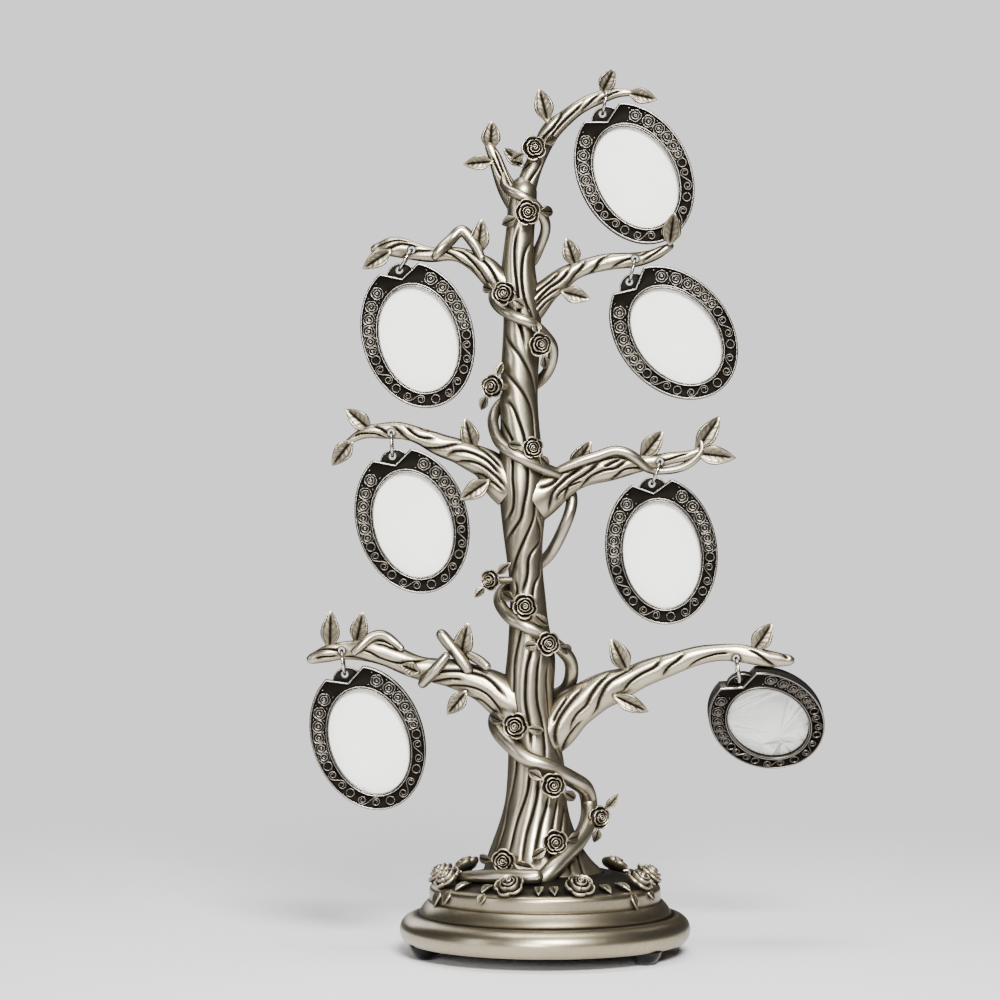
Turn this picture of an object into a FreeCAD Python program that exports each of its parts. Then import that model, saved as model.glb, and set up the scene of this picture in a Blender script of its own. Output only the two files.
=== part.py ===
import FreeCAD, Part
import math
import os

# Photo tree stand: a cast tree with seven branches on a stepped round base, a rose vine wound up the
# trunk, and seven oval picture frames that hang from rings through eyes in the branches.
# Frame of the part: origin on the floor under the centre of the base, +Z up, +X to the viewer's
# right, -Y towards the viewer. Every length is in millimetres and every angle in degrees.

# Overall size, and the picture coordinates that places are read in.
TREE_HEIGHT = 364.0
FLOOR_PY = 953.0
TREE_TOP_PY = 68.0
TREE_AXIS_PX = 545.0
MM_PER_PIXEL = TREE_HEIGHT / (FLOOR_PY - TREE_TOP_PY)

# General fits.
CLEARANCE = 0.1
OVERRUN = 2.0
SHORTEST_LENGTH_SHARE = 0.01
SECTION_POINTS = 8

# Base: a hollow stepped casting on three ball feet, closed below by a thin plate.
BASE_RIM_RADIUS = 59.6
BASE_RIM_UNDERCUT = 2.2
BASE_RIM_BELLY_Z = 9.0
BASE_RIM_TOP_Z = 16.5
BASE_STEP_RADIUS = 52.2
BASE_STEP_LEDGE = 1.4
BASE_STEP_Z = 22.0
BASE_TOP_RADIUS = 47.5
BASE_TOP_LEDGE = 0.9
BASE_EDGE_Z = 26.5
BASE_EDGE_ROUND = 2.4
BASE_SEAT_RADIUS = 27.5
BASE_SEAT_Z = 33.5
BASE_UNDERSIDE_Z = 5.5
BASE_WALL = 3.2
BOTTOM_PLATE_RADIUS = 44.0
BOTTOM_PLATE_THICKNESS = 1.5
BOTTOM_PLATE_ACCESS_RADIUS = 10.0
FOOT_BALL_RADIUS = 7.0
FOOT_FLAT_DEPTH = 0.4
FOOT_CIRCLE_RADIUS = 51.5
FOOT_DEGREES = (-70.0, 50.0, 170.0)

# The bolt that holds the trunk on the base.
BOLT_RADIUS = 3.0
BOLT_HEAD_RADIUS = 5.0
BOLT_HEAD_HEIGHT = 4.0
BOLT_GRIP = 18.0
BOLT_THREAD_CLEARANCE = 0.05
BASE_HOLE_RADIUS = 3.4
WASHER_RADIUS = 8.0
WASHER_THICKNESS = 1.6

# Trunk: (row, left edge, right edge) in picture coordinates, from the foot up.
TRUNK_OUTLINE_PX = [
    (860, 486, 592), (840, 493, 579), (820, 500, 571), (800, 505, 567), (780, 507, 566),
    (750, 508, 562), (720, 506, 556), (690, 504, 554), (655, 507, 555), (625, 509, 549),
    (600, 510, 546), (570, 508, 543), (540, 504, 543), (505, 500, 546), (475, 498, 545),
    (440, 500, 541), (400, 500, 538), (350, 502, 540), (310, 503, 541), (280, 501, 537),
    (245, 504, 534), (215, 507, 536), (190, 508, 537), (176, 511, 536),
]
TRUNK_FOOT_PX = (483, 604)
TRUNK_DEPTH_SHARE = 0.92
TRUNK_FLUTES = 7
TRUNK_FLUTE_SHARE = 0.06
TRUNK_TWIST_PER_SECTION = 9.0

# Branches: (column, row, width) along the middle line, from the root inside the trunk to the tip.
BRANCH_DEPTH_SHARE = 0.8
BRANCH_TIP_SHARES = ((0.35, 0.8), (0.6, 0.42))
BRANCH_PX = {
    "branch_top": [
        (524, 196, 22), (530, 175, 20), (541, 150, 18), (551, 131, 20), (563, 120, 17), (577, 109, 15),
        (592, 101, 14), (605, 96, 13), (620, 93, 9), (629, 93, 7),
    ],
    "branch_stub": [
        (518, 206, 22), (508, 190, 20), (500, 172, 16), (494, 156, 13), (490, 148, 10),
    ],
    "branch_left_high": [
        (516, 288, 30), (497, 280, 26), (487, 270, 25), (475, 262, 20), (462, 256, 16), (448, 254, 14),
        (435, 255, 15), (420, 253, 17), (405, 249, 20), (390, 247, 19), (378, 249, 12),
    ],
    "branch_right_high": [
        (524, 312, 36), (533, 304, 32), (548, 290, 24), (562, 279, 22), (575, 271, 18), (590, 266, 17),
        (605, 262.5, 17), (620, 261, 16), (635, 260, 15), (648, 257, 13), (660, 252, 11), (669, 247, 8),
    ],
    "branch_left_mid": [
        (512, 488, 44), (500, 478, 40), (487, 465, 32), (473, 458, 28), (458, 451, 25), (443, 446, 23),
        (428, 439.5, 20), (412, 433.5, 17), (397, 430.5, 17.5), (382, 431, 16), (368, 432, 13), (356, 437, 9),
        (348, 442, 6),
    ],
    "branch_right_mid": [
        (532, 500, 48), (545, 492, 44), (560, 484, 34), (575, 477, 27), (592, 471, 27), (610, 468, 26),
        (627, 465, 22), (643, 463, 17), (658, 461, 14), (672, 458, 12), (686, 456, 10), (697, 452, 7),
    ],
    "branch_left_low": [
        (522, 708, 46), (508, 700, 44), (490, 688, 38), (472, 680, 32), (455, 674, 30), (438, 671, 26),
        (420, 668, 24), (402, 661, 24), (384, 653, 25), (368, 650, 24), (354, 650, 20), (340, 651, 18),
        (326, 654, 17), (314, 658, 12),
    ],
    "branch_right_low": [
        (542, 738, 46), (556, 728, 44), (570, 712, 42), (585, 701, 39), (600, 692, 36), (615, 686, 34),
        (630, 680, 28), (645, 673, 26), (662, 667, 24), (680, 661, 21), (700, 655, 19), (720, 652.5, 17),
        (738, 653, 18), (755, 656, 18), (772, 659, 16), (787, 660, 12),
    ],
}

# The eye in each branch that a frame's ring passes through.
EYE_RADIUS = 3.3
EYE_THICKNESS = 4.4
EYE_HOLE_RADIUS = 1.5
EYE_FLARE_SHARE = 0.3

# Vine: (row, degrees round the trunk from the front towards +X, lift off the bark in pixels, width).
VINE_PX = [
    (878, -8, 0, 18), (866, 6, 0, 18), (856, 20, 0, 18), (846, 36, 1, 17.5), (836, 55, 3, 17),
    (824, 74, 7, 17), (812, 88, 11, 17), (801, 94, 13, 17), (791, 88, 11, 17), (781, 68, 6, 17),
    (773, 48, 2, 16.5), (766, 28, 0, 16), (761, 7, 0, 16), (756, -14, 0, 16), (748, -34, 0, 15.5),
    (740, -54, 0, 15), (731, -74, 2, 15), (720, -95, 4, 14), (711, -130, 2, 14), (703, -180, 2, 14),
    (697, -225, 4, 14), (689, -250, 8, 14), (676, -264, 10, 14), (662, -276, 9, 13.5),
    (650, -295, 5, 13.5), (641, -313, 2, 13), (634, -333, 0, 13), (628, -355, 0, 13), (623, -378, 0, 13),
    (618, -402, 0, 13), (611, -426, 1, 12.5), (601, -450, 4, 12.5), (590, -478, 3, 12),
    (580, -515, 1, 12), (570, -555, 1, 12), (558, -590, 5, 12), (542, -612, 10, 12), (526, -620, 15, 12),
    (511, -622, 19, 12), (497, -618, 21, 12), (484, -622, 16, 12), (475, -640, 8, 12), (470, -664, 2, 12),
    (465, -690, 0, 12), (459, -715, 0, 12), (453, -740, 0, 12), (445, -766, 0, 12), (434, -792, 0, 11.5),
    (421, -812, 1, 11.5), (408, -838, 0, 11.5), (396, -880, 0, 11.5), (386, -930, 0, 11.5),
    (374, -968, 3, 11.5), (360, -986, 7, 11), (347, -998, 7, 11), (337, -1016, 3, 11),
    (329, -1037, 0, 11), (324, -1060, 0, 11), (320, -1084, 0, 11), (316, -1108, 0, 11),
    (311, -1134, 0, 11), (303, -1158, 2, 11), (294, -1182, 3, 11), (284, -1212, 2, 11),
    (272, -1256, 0, 11), (260, -1300, 0, 11), (248, -1328, 1, 10.5), (236, -1346, 4, 10.5),
    (224, -1362, 5, 10.5), (213, -1382, 2, 10.5), (205, -1406, 0, 10.5), (199, -1436, 0, 10.5),
    (194, -1470, 0, 10), (187, -1504, 1, 9), (178, -1522, 3, 8), (171, -1530, 4, 6),
]

# The runner on top of the base: (degrees, radius as a share of the base top, width in pixels).
ROOT_VINE_SHARES = (
    (-14, 0.70, 12), (-24, 0.70, 12), (-36, 0.715, 11.5), (-47, 0.735, 11), (-57, 0.76, 10), (-66, 0.785, 8),
    (-74, 0.80, 5),
)

# Tendrils: (column, row, depth in pixels towards the back, width).
TENDRILS_PX = {
    "tendril_left_high": [
        [(434, 261, -9, 6), (437, 255, -11, 8), (444, 247, -8, 10), (453, 238, -2, 10), (462, 231, 0, 10),
         (469, 237, 0, 10), (477, 249, -3, 9), (483, 262, -9, 6)],
    ],
    "tendril_right_mid": [
        [(556, 471, -13, 7), (568, 466, -14, 9), (584, 460, -14, 10), (600, 455, -12, 10),
         (614, 451, -11, 10), (626, 453, -11, 10), (636, 459, -9, 10), (645, 467, -4, 9),
         (653, 470.5, 0, 8), (663, 471, 0, 7.5), (675, 469.5, 0, 8), (687, 465, 0, 8.5),
         (696, 458, 0, 8.5), (702, 448, 0, 7), (700, 439, 0, 4)],
    ],
    "tendril_left_low": [
        [(470, 672, -12, 8), (462, 660, -10, 9), (451, 646, -6, 8), (439, 633, -2, 5)],
        [(450, 648, -16, 5), (437, 663, -17, 9), (427, 676, -14, 10), (418, 688, -8, 7)],
        [(352, 654, -11, 6), (361, 646, -11, 8), (370, 638, -7, 9), (382, 635, -3, 9), (393, 641, -3, 8),
         (404, 650, -8, 5)],
        [(490, 668, -18, 5), (478, 659, -12, 7), (464, 653, -5, 5)],
    ],
}

# Leaves on the branches: (foot column, row and depth, tip column, row and depth, width) in pixels.
LEAF_THICKNESS = 1.5
LEAF_SHARES = ((0.0, 0.2), (0.12, 0.42), (0.32, 0.92), (0.52, 1.0), (0.74, 0.7), (0.9, 0.34), (1.0, 0.07))
LEAF_CURL_SHARE = 0.1
LEAF_RIM_SHARE = 0.45
LEAVES_PX = [
    (601, 94, 0, 614, 69, 0, 17), (548, 124, -4, 539, 89, -4, 19), (627, 93, 0, 657, 100, 0, 16),
    (490, 152, 0, 492, 121, 0, 19), (494, 162, -3, 463, 165, -3, 15), (524, 168, -7, 503, 149, -7, 14),
    (576, 268, -3, 566, 238, -3, 18), (560, 292, -8, 590, 300, -10, 17), (669, 246, -6, 673, 214, -19, 19),
    (477, 257, 0, 482, 219, 0, 20), (392, 251, -8, 363, 270, -12, 17), (372, 431, 0, 346, 409, 0, 18),
    (353, 439, 0, 332, 466, 0, 18), (474, 452, -2, 465, 418, -2, 19), (490, 480, -12, 460, 500, -15, 19),
    (570, 474, -4, 591, 441, -4, 19), (640, 459, 0, 663, 431, 0, 19), (695, 452, 0, 720, 416, 3, 19),
    (694, 453, 0, 736, 458, 2, 19), (330, 651, 0, 331, 610, 0, 19), (356, 645, 0, 363, 612, 0, 18),
    (459, 662, -4, 468, 622, -4, 20), (420, 672, -9, 401, 664, -13, 15), (467, 690, -10, 447, 714, -10, 17),
    (628, 672, -4, 611, 638, -4, 20), (612, 694, -14, 648, 711, -14, 17), (752, 652, 0, 772, 623, 0, 20),
]

# Roses on the vine: (column, row, diameter) in pixels, each with its two small leaves' tips.
ROSE_DEPTH_SHARE = 0.42
ROSE_STEM_SHARE = 0.34
ROSE_STEM_REACH_SHARE = 2.0
ROSE_PROFILE_SHARES = (
    (0.2, 0.96), (0.3, 0.78), (0.42, 0.88), (0.58, 0.8), (0.66, 0.58), (0.82, 0.66), (1.0, 0.42),
    (0.92, 0.16), (0.6, 0.0),
)
ROSE_SIDE_DEGREES = 80.0
ROSE_FACING_SHARE = 0.35
VINE_ROSES_PX = [
    (533, 150, 26, (551, 141), (516, 159)), (527, 215, 27, (507, 224), (547, 213)),
    (505, 295, 25, (488, 289), (521, 306)), (539, 346, 25, (535, 328), (543, 364)),
    (494, 387, 25, (501, 368), (484, 406)), (532, 448, 22, (512, 445), (545, 464)),
    (492, 580, 22, (508, 565), (477, 594)), (525, 605, 26, (507, 595), (543, 621)),
    (547, 642, 25, (528, 644), (566, 649)), (516, 723, 27, (496, 716), (538, 727)),
    (552, 781, 26, (532, 770), (570, 794)), (597, 816, 25, (615, 797), (594, 836)),
    (554, 836, 26, (574, 832), (535, 849)), (504, 854, 24, (485, 854), (528, 860)),
]
ROSE_LEAF_WIDTH_SHARE = 0.42
ROSE_LEAF_FOOT_SHARE = 0.85
ROSE_LEAF_STAND_SHARE = 0.7
ROSE_LEAF_REACH_SHARE = 0.4

# Roses on the base: degrees from the front towards +X, on one circle, with small leaves between.
BASE_ROSE_DIAMETER = 11.5
BASE_ROSE_CIRCLE_SHARE = 0.885
BASE_ROSE_DEGREES = (-20, 18, 62, 90, 136, 165, -165, -130, -95, -68)
BASE_LEAF_DEGREES = (-34, -4, 4, 34, 47, 76, 104, 121, 150, 180, -150, -116, -82, -52)
BASE_LEAF_LENGTH = 8.0
BASE_LEAF_WIDTH = 4.0

# Frames: eye in the branch (column, row), ring's lean to the left, frame's lean to the left, and how
# far the foot of the frame is kicked back.
RING_RADIUS = 4.9
RING_WIRE_RADIUS = 0.65
HANGERS_PX = [
    (607, 91, 11.0, 28.0, 0.0), (411.7, 250, 31.0, 15.8, 0.0), (635, 259, 14.0, 41.0, 0.0),
    (391.3, 432.5, -3.0, 17.0, 0.0), (660, 461.5, 20.0, 8.0, 0.0), (341.7, 650.5, -7.7, 20.0, 0.0),
    (736, 658, -7.0, 30.0, 42.0),
]
WINDOW_HALF_WIDTH = 15.75
WINDOW_HALF_HEIGHT = 22.0
BEZEL_HALF_WIDTH = 23.0
BEZEL_HALF_HEIGHT = 30.5
BEZEL_RISE = 1.6
BEZEL_THICKNESS = 5.0
BEZEL_OUTER_LIP = 1.3
BEZEL_INNER_LIP = 1.9
BEZEL_CHANNEL_DEPTH = 1.2
BEZEL_FRONT_LIP_THICKNESS = 1.9
NOTCH_HALF_WIDTH = 8.9
NOTCH_FLOOR_Z = 25.8
NOTCH_SHOULDER_SHARE = 0.5
TAB_THICKNESS = 2.2
TAB_RADIUS = 6.2
TAB_CENTRE_Z = 26.0
TAB_HOLE_Z = 29.3
TAB_HOLE_RADIUS = 1.4
REBATE_WIDTH = 1.6
PANE_THICKNESS = 1.0
CARD_THICKNESS = 0.4


def across(column):
    # Distance from the tree's axis of a column of the picture.
    return (column - TREE_AXIS_PX) * MM_PER_PIXEL


def up(row):
    # Height above the floor of a row of the picture.
    return (FLOOR_PY - row) * MM_PER_PIXEL


def point(column, row, depth=0.0):
    # Depth is in pixels too, positive towards the back.
    return FreeCAD.Vector(across(column), depth * MM_PER_PIXEL, up(row))


def interpolate(rows, value):
    # Straight-line reading of (key, value) rows sorted by key.
    if value <= rows[0][0]:
        return rows[0][1]
    for (key_0, value_0), (key_1, value_1) in zip(rows, rows[1:]):
        if value <= key_1:
            return value_0 + (value_1 - value_0) * (value - key_0) / (key_1 - key_0)
    return rows[-1][1]


def section(centre, side, front, half_side, half_front):
    # The control points of a closed cubic curve that has these half widths.
    pull = (4.0 + 2.0 * math.cos(2.0 * math.pi / SECTION_POINTS)) / 6.0
    points = []
    for step in range(SECTION_POINTS):
        turn = 2.0 * math.pi * step / SECTION_POINTS
        across_part = side * (half_side * math.cos(turn) / pull)
        points.append(centre + across_part + front * (half_front * math.sin(turn) / pull))
    return points


def skin(sections):
    # A closed solid with a smooth side through all sections and a flat face at each end.
    count = len(sections[0])
    centres = [sum(points, FreeCAD.Vector()) / count for points in sections]
    lengths = [0.0]
    for before, after in zip(centres, centres[1:]):
        lengths.append(lengths[-1] + after.distanceToPoint(before))
    columns = []
    for index in range(count):
        curve = Part.BSplineCurve()
        curve.interpolate(Points=[points[index] for points in sections], Parameters=lengths)
        columns.append(curve)
    knots = columns[0].getKnots()
    poles = []
    for row in range(columns[0].NbPoles):
        poles.append([column.getPole(row + 1) for column in columns])
    surface = Part.BSplineSurface()
    surface.buildFromPolesMultsKnots(
        poles,
        columns[0].getMultiplicities(),
        (1,) * (count + 1),
        knots,
        tuple(range(count + 1)),
        False,
        True,
        columns[0].Degree,
        3,
    )
    faces = [surface.toShape()]
    for knot in (knots[0], knots[-1]):
        faces.append(Part.Face(Part.Wire(surface.uIso(knot).toShape())))
    shell = Part.Shell(faces)
    shell.sewShape()
    solid = Part.Solid(shell)
    if solid.Volume < 0.0:
        solid.reverse()
    return solid


def tangents(points):
    result = []
    for index in range(len(points)):
        before = points[max(index - 1, 0)]
        after = points[min(index + 1, len(points) - 1)]
        result.append((after - before).normalize())
    return result


def carried_sides(directions, first_side):
    # Side directions carried along a path with no twist, for the sections of a tube.
    side = first_side
    result = []
    for direction in directions:
        side = side - direction * side.dot(direction)
        side.normalize()
        result.append(FreeCAD.Vector(side))
    return result


def tube(points, radii, first_side):
    directions = tangents(points)
    sides = carried_sides(directions, first_side)
    sections = []
    for centre, direction, side, radius in zip(points, directions, sides, radii):
        sections.append(section(centre, side, direction.cross(side), radius, radius))
    return skin(sections)


def largest(shape):
    # The main solid of a shape that a cut may have split.
    solids = sorted(shape.Solids, key=lambda solid: solid.Volume)
    return solids[-1]


def trimmed(shape, others):
    # The shape with each solid that it reaches into cut away, so that they meet face to face.
    for other in others:
        if shape.BoundBox.intersect(other.BoundBox):
            shape = largest(shape.cut(other))
    return shape


def trimmed_lengths(shape, others):
    # The same for a long piece, which stays in several lengths where it runs into others.
    whole = shape.Volume
    lengths = [shape]
    for other in others:
        rest = []
        for piece in lengths:
            if piece.BoundBox.intersect(other.BoundBox):
                rest += piece.cut(other).Solids
            else:
                rest.append(piece)
        lengths = rest
    return [piece for piece in lengths if piece.Volume > SHORTEST_LENGTH_SHARE * whole]


def trunk_section_rows():
    rows = [(BASE_SEAT_Z, TRUNK_FOOT_PX[0], TRUNK_FOOT_PX[1])]
    for row, left, right in TRUNK_OUTLINE_PX:
        rows.append((up(row), left, right))
    return rows


TRUNK_SECTIONS = [
    (z, (across(left) + across(right)) / 2.0, (across(right) - across(left)) / 2.0)
    for z, left, right in trunk_section_rows()
]
TRUNK_CENTRE_ROWS = [(z, centre) for z, centre, half in TRUNK_SECTIONS]
TRUNK_HALF_ROWS = [(z, half) for z, centre, half in TRUNK_SECTIONS]


def trunk_reach(z, degrees):
    # Distance from the trunk's middle to its bark, over the flutes, in a direction from the front.
    half = interpolate(TRUNK_HALF_ROWS, z)
    wide = half * math.sin(math.radians(degrees))
    deep = half * TRUNK_DEPTH_SHARE * math.cos(math.radians(degrees))
    return math.hypot(wide, deep)


def round_trunk(z, degrees, reach):
    turn = math.radians(degrees)
    centre = interpolate(TRUNK_CENTRE_ROWS, z)
    return FreeCAD.Vector(centre + reach * math.sin(turn), -reach * math.cos(turn), z)


def make_trunk():
    sections = []
    for index, (z, centre, half) in enumerate(TRUNK_SECTIONS):
        points = []
        for step in range(2 * TRUNK_FLUTES):
            turn = math.pi * step / TRUNK_FLUTES
            twist = math.radians(TRUNK_TWIST_PER_SECTION * index)
            ridge = 1.0 if step % 2 else 1.0 - TRUNK_FLUTE_SHARE
            points.append(FreeCAD.Vector(
                centre + half * ridge * math.sin(turn + twist),
                -half * ridge * TRUNK_DEPTH_SHARE * math.cos(turn + twist),
                z,
            ))
        sections.append(points)
    return skin(sections)


def vine_point(row, degrees, lift, width):
    radius = width * MM_PER_PIXEL / 2.0
    z = up(row)
    reach = trunk_reach(z, degrees) + radius + CLEARANCE + lift * MM_PER_PIXEL
    return round_trunk(z, degrees, reach), radius


def base_top_z(radius):
    # Height of the cone between the trunk's seat and the rounded edge of the base.
    edge_height = BASE_EDGE_Z + BASE_EDGE_ROUND
    edge_reach = BASE_TOP_RADIUS - BASE_EDGE_ROUND
    fall = (BASE_SEAT_Z - edge_height) / (edge_reach - BASE_SEAT_RADIUS)
    return BASE_SEAT_Z - fall * (radius - BASE_SEAT_RADIUS)


def on_circle(radius, degrees, z):
    turn = math.radians(degrees)
    return FreeCAD.Vector(radius * math.sin(turn), -radius * math.cos(turn), z)


def revolved(outline):
    face = Part.Face(Part.Wire(outline))
    return face.revolve(FreeCAD.Vector(), FreeCAD.Vector(0, 0, 1), 360.0)


def lines(points):
    edges = []
    for before, after in zip(points, points[1:]):
        edges.append(Part.LineSegment(before, after).toShape())
    return edges


def arc(start, middle, end):
    return Part.Arc(start, middle, end).toShape()


def profile_point(radius, z):
    return FreeCAD.Vector(radius, 0, z)


def make_base_shell():
    plate_top_z = BASE_UNDERSIDE_Z + BOTTOM_PLATE_THICKNESS
    rim_foot = profile_point(BASE_RIM_RADIUS - BASE_RIM_UNDERCUT, BASE_UNDERSIDE_Z)
    rim_belly = profile_point(BASE_RIM_RADIUS, BASE_RIM_BELLY_Z)
    rim_top = profile_point(BASE_STEP_RADIUS + BASE_STEP_LEDGE, BASE_RIM_TOP_Z)
    step_foot = profile_point(BASE_STEP_RADIUS, BASE_RIM_TOP_Z)
    step_waist_z = (BASE_RIM_TOP_Z + BASE_STEP_Z) / 2.0
    step_top = profile_point(BASE_TOP_RADIUS + BASE_TOP_LEDGE, BASE_STEP_Z)
    step_waist = profile_point((step_foot.x + step_top.x) / 2.0 + BASE_TOP_LEDGE / 2.0, step_waist_z)
    plate_foot = profile_point(BASE_TOP_RADIUS, BASE_STEP_Z)
    edge_foot = profile_point(BASE_TOP_RADIUS, BASE_EDGE_Z)
    corner = BASE_EDGE_ROUND * (1.0 - math.sqrt(0.5))
    edge_middle = profile_point(BASE_TOP_RADIUS - corner, BASE_EDGE_Z + BASE_EDGE_ROUND - corner)
    edge_top = profile_point(BASE_TOP_RADIUS - BASE_EDGE_ROUND, BASE_EDGE_Z + BASE_EDGE_ROUND)
    seat_edge = profile_point(BASE_SEAT_RADIUS, BASE_SEAT_Z)
    seat_hole = profile_point(BASE_HOLE_RADIUS, BASE_SEAT_Z)
    ceiling_z = BASE_SEAT_Z - BASE_WALL
    ceiling_hole = profile_point(BASE_HOLE_RADIUS, ceiling_z)
    ceiling_edge = profile_point(BASE_SEAT_RADIUS, ceiling_z)
    shoulder = profile_point(BASE_TOP_RADIUS - BASE_WALL, BASE_STEP_Z)
    waist = profile_point(BASE_TOP_RADIUS - BASE_WALL, BASE_RIM_TOP_Z - BASE_WALL)
    hem = profile_point(BOTTOM_PLATE_RADIUS + CLEARANCE - BASE_WALL, plate_top_z)
    ledge = profile_point(BOTTOM_PLATE_RADIUS + CLEARANCE, plate_top_z)
    mouth = profile_point(BOTTOM_PLATE_RADIUS + CLEARANCE, BASE_UNDERSIDE_Z)
    outline = [arc(rim_foot, rim_belly, rim_top)]
    outline += lines([rim_top, step_foot])
    outline += [arc(step_foot, step_waist, step_top)]
    outline += lines([step_top, plate_foot, edge_foot])
    outline += [arc(edge_foot, edge_middle, edge_top)]
    outline += lines([edge_top, seat_edge, seat_hole])
    outline += lines([seat_hole, ceiling_hole, ceiling_edge, shoulder, waist, hem, ledge, mouth, rim_foot])
    return revolved(outline)


def make_bottom_plate():
    plate = Part.makeCylinder(BOTTOM_PLATE_RADIUS, BOTTOM_PLATE_THICKNESS)
    hole = Part.makeCylinder(BOTTOM_PLATE_ACCESS_RADIUS, BOTTOM_PLATE_THICKNESS)
    plate = plate.cut(hole)
    plate.translate(FreeCAD.Vector(0, 0, BASE_UNDERSIDE_Z))
    return plate


def make_ball_feet():
    # Balls cut flat where they are glued to the rim, and a little where they stand.
    feet = []
    for degrees in FOOT_DEGREES:
        centre = on_circle(FOOT_CIRCLE_RADIUS, degrees, FOOT_BALL_RADIUS - FOOT_FLAT_DEPTH)
        ball = Part.makeSphere(FOOT_BALL_RADIUS, centre)
        slab = Part.makeCylinder(
            2.0 * FOOT_BALL_RADIUS, BASE_UNDERSIDE_Z, on_circle(FOOT_CIRCLE_RADIUS, degrees, 0.0)
        )
        feet.append(ball.common(slab))
    return feet


def make_bolt():
    ceiling_z = BASE_SEAT_Z - BASE_WALL
    head_z = ceiling_z - WASHER_THICKNESS - BOLT_HEAD_HEIGHT
    head = Part.makeCylinder(BOLT_HEAD_RADIUS, BOLT_HEAD_HEIGHT, FreeCAD.Vector(0, 0, head_z))
    shank_length = WASHER_THICKNESS + BASE_WALL + BOLT_GRIP
    shank_foot = FreeCAD.Vector(0, 0, ceiling_z - WASHER_THICKNESS)
    return head.fuse(Part.makeCylinder(BOLT_RADIUS, shank_length, shank_foot)).removeSplitter()


def make_washer():
    foot = FreeCAD.Vector(0, 0, BASE_SEAT_Z - BASE_WALL - WASHER_THICKNESS)
    washer = Part.makeCylinder(WASHER_RADIUS, WASHER_THICKNESS, foot)
    return washer.cut(Part.makeCylinder(BASE_HOLE_RADIUS, WASHER_THICKNESS, foot))


def bolted_trunk():
    trunk = make_trunk()
    bore_radius = BOLT_RADIUS + BOLT_THREAD_CLEARANCE
    bore = Part.makeCylinder(bore_radius, BOLT_GRIP + OVERRUN, FreeCAD.Vector(0, 0, BASE_SEAT_Z))
    return trunk.cut(bore)


def eye_place(hanger):
    return point(hanger[0], hanger[1])


def eye_drill(place, reach):
    # The round hole of an eye, running this far in front of it and behind it.
    front = FreeCAD.Vector(0, 1, 0)
    return Part.makeCylinder(EYE_HOLE_RADIUS, 2.0 * reach, place - front * reach, front)


def make_branch(rows, trunk, hangers):
    centres = [point(column, row) for column, row, width in rows]
    halves = [width * MM_PER_PIXEL / 2.0 for column, row, width in rows]
    eyes = []
    for hanger in hangers:
        place = eye_place(hanger)
        if min(place.distanceToPoint(centre) for centre in centres) < halves[0]:
            eyes.append(place)
    tip = centres[-1]
    tip_half = halves[-1]
    tip_direction = (tip - centres[-2]).normalize()
    for reach_share, half_share in BRANCH_TIP_SHARES:
        centres.append(tip + tip_direction * (2.0 * tip_half * reach_share))
        halves.append(tip_half * half_share)
    front = FreeCAD.Vector(0, 1, 0)
    sections = []
    for centre, direction, half in zip(centres, tangents(centres), halves):
        deep = half * BRANCH_DEPTH_SHARE
        for place in eyes:
            away = max(place.distanceToPoint(centre) - EYE_RADIUS, 0.0)
            deep = min(deep, EYE_THICKNESS / 2.0 + EYE_FLARE_SHARE * away)
        sections.append(section(centre, front.cross(direction), front, half, deep))
    branch = skin(sections)
    for place in eyes:
        foot = place - front * (EYE_THICKNESS / 2.0)
        branch = branch.fuse(Part.makeCylinder(EYE_RADIUS, EYE_THICKNESS, foot, front))
        branch = branch.cut(eye_drill(place, max(halves)))
    return trimmed(branch, [trunk])


def make_leaf(foot, tip, outward, width, thickness):
    # A pointed oval blade that bows outward between its foot and its tip.
    along = tip - foot
    length = along.Length
    direction = FreeCAD.Vector(along).normalize()
    side = direction.cross(outward).normalize()
    outward = side.cross(direction)
    sections = []
    for place_share, width_share in LEAF_SHARES:
        bow = LEAF_CURL_SHARE * length * math.sin(math.pi * place_share)
        centre = foot + direction * (length * place_share) + outward * bow
        half_thick = thickness / 2.0 * (LEAF_RIM_SHARE + (1.0 - LEAF_RIM_SHARE) * math.sqrt(width_share))
        sections.append(section(centre, side, outward, width / 2.0 * width_share, half_thick))
    return skin(sections)


def make_rose(diameter):
    # A rose's head: a flat back, two rings of petals and a bud.
    radius = diameter / 2.0
    height = diameter * ROSE_DEPTH_SHARE
    points = [profile_point(0.0, height)]
    for radius_share, height_share in ROSE_PROFILE_SHARES:
        points.append(profile_point(radius * radius_share, height * height_share))
    points.append(profile_point(0.0, 0.0))
    points.append(points[0])
    return revolved(lines(points))


def placed(shape, place, outward):
    result = shape.copy()
    turn = FreeCAD.Rotation(FreeCAD.Vector(0, 0, 1), outward)
    result.Placement = FreeCAD.Placement(place, turn)
    return result


def side_degrees(offset, reach):
    # Azimuth from the front at which a point at this reach stands this far to the right.
    limit = math.sin(math.radians(ROSE_SIDE_DEGREES))
    return math.degrees(math.asin(max(-limit, min(limit, offset / reach))))


def bark_place(column, row, stand_off):
    # The point over the bark that is seen at a place of the picture, and its outward direction.
    z = up(row)
    offset = across(column) - interpolate(TRUNK_CENTRE_ROWS, z)
    reach = interpolate(TRUNK_HALF_ROWS, z) * TRUNK_DEPTH_SHARE + stand_off
    limit = math.sin(math.radians(ROSE_SIDE_DEGREES))
    reach = max(reach, abs(offset) / limit)
    degrees = side_degrees(offset, reach)
    turn = math.radians(degrees)
    return round_trunk(z, degrees, reach), FreeCAD.Vector(math.sin(turn), -math.cos(turn), 0.0)


def rose_facing(outward):
    # Where a rose's face looks: less far round to the side than the bark behind it.
    turn = math.atan2(outward.x, -outward.y) * ROSE_FACING_SHARE
    return FreeCAD.Vector(math.sin(turn), -math.cos(turn), 0.0)


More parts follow.
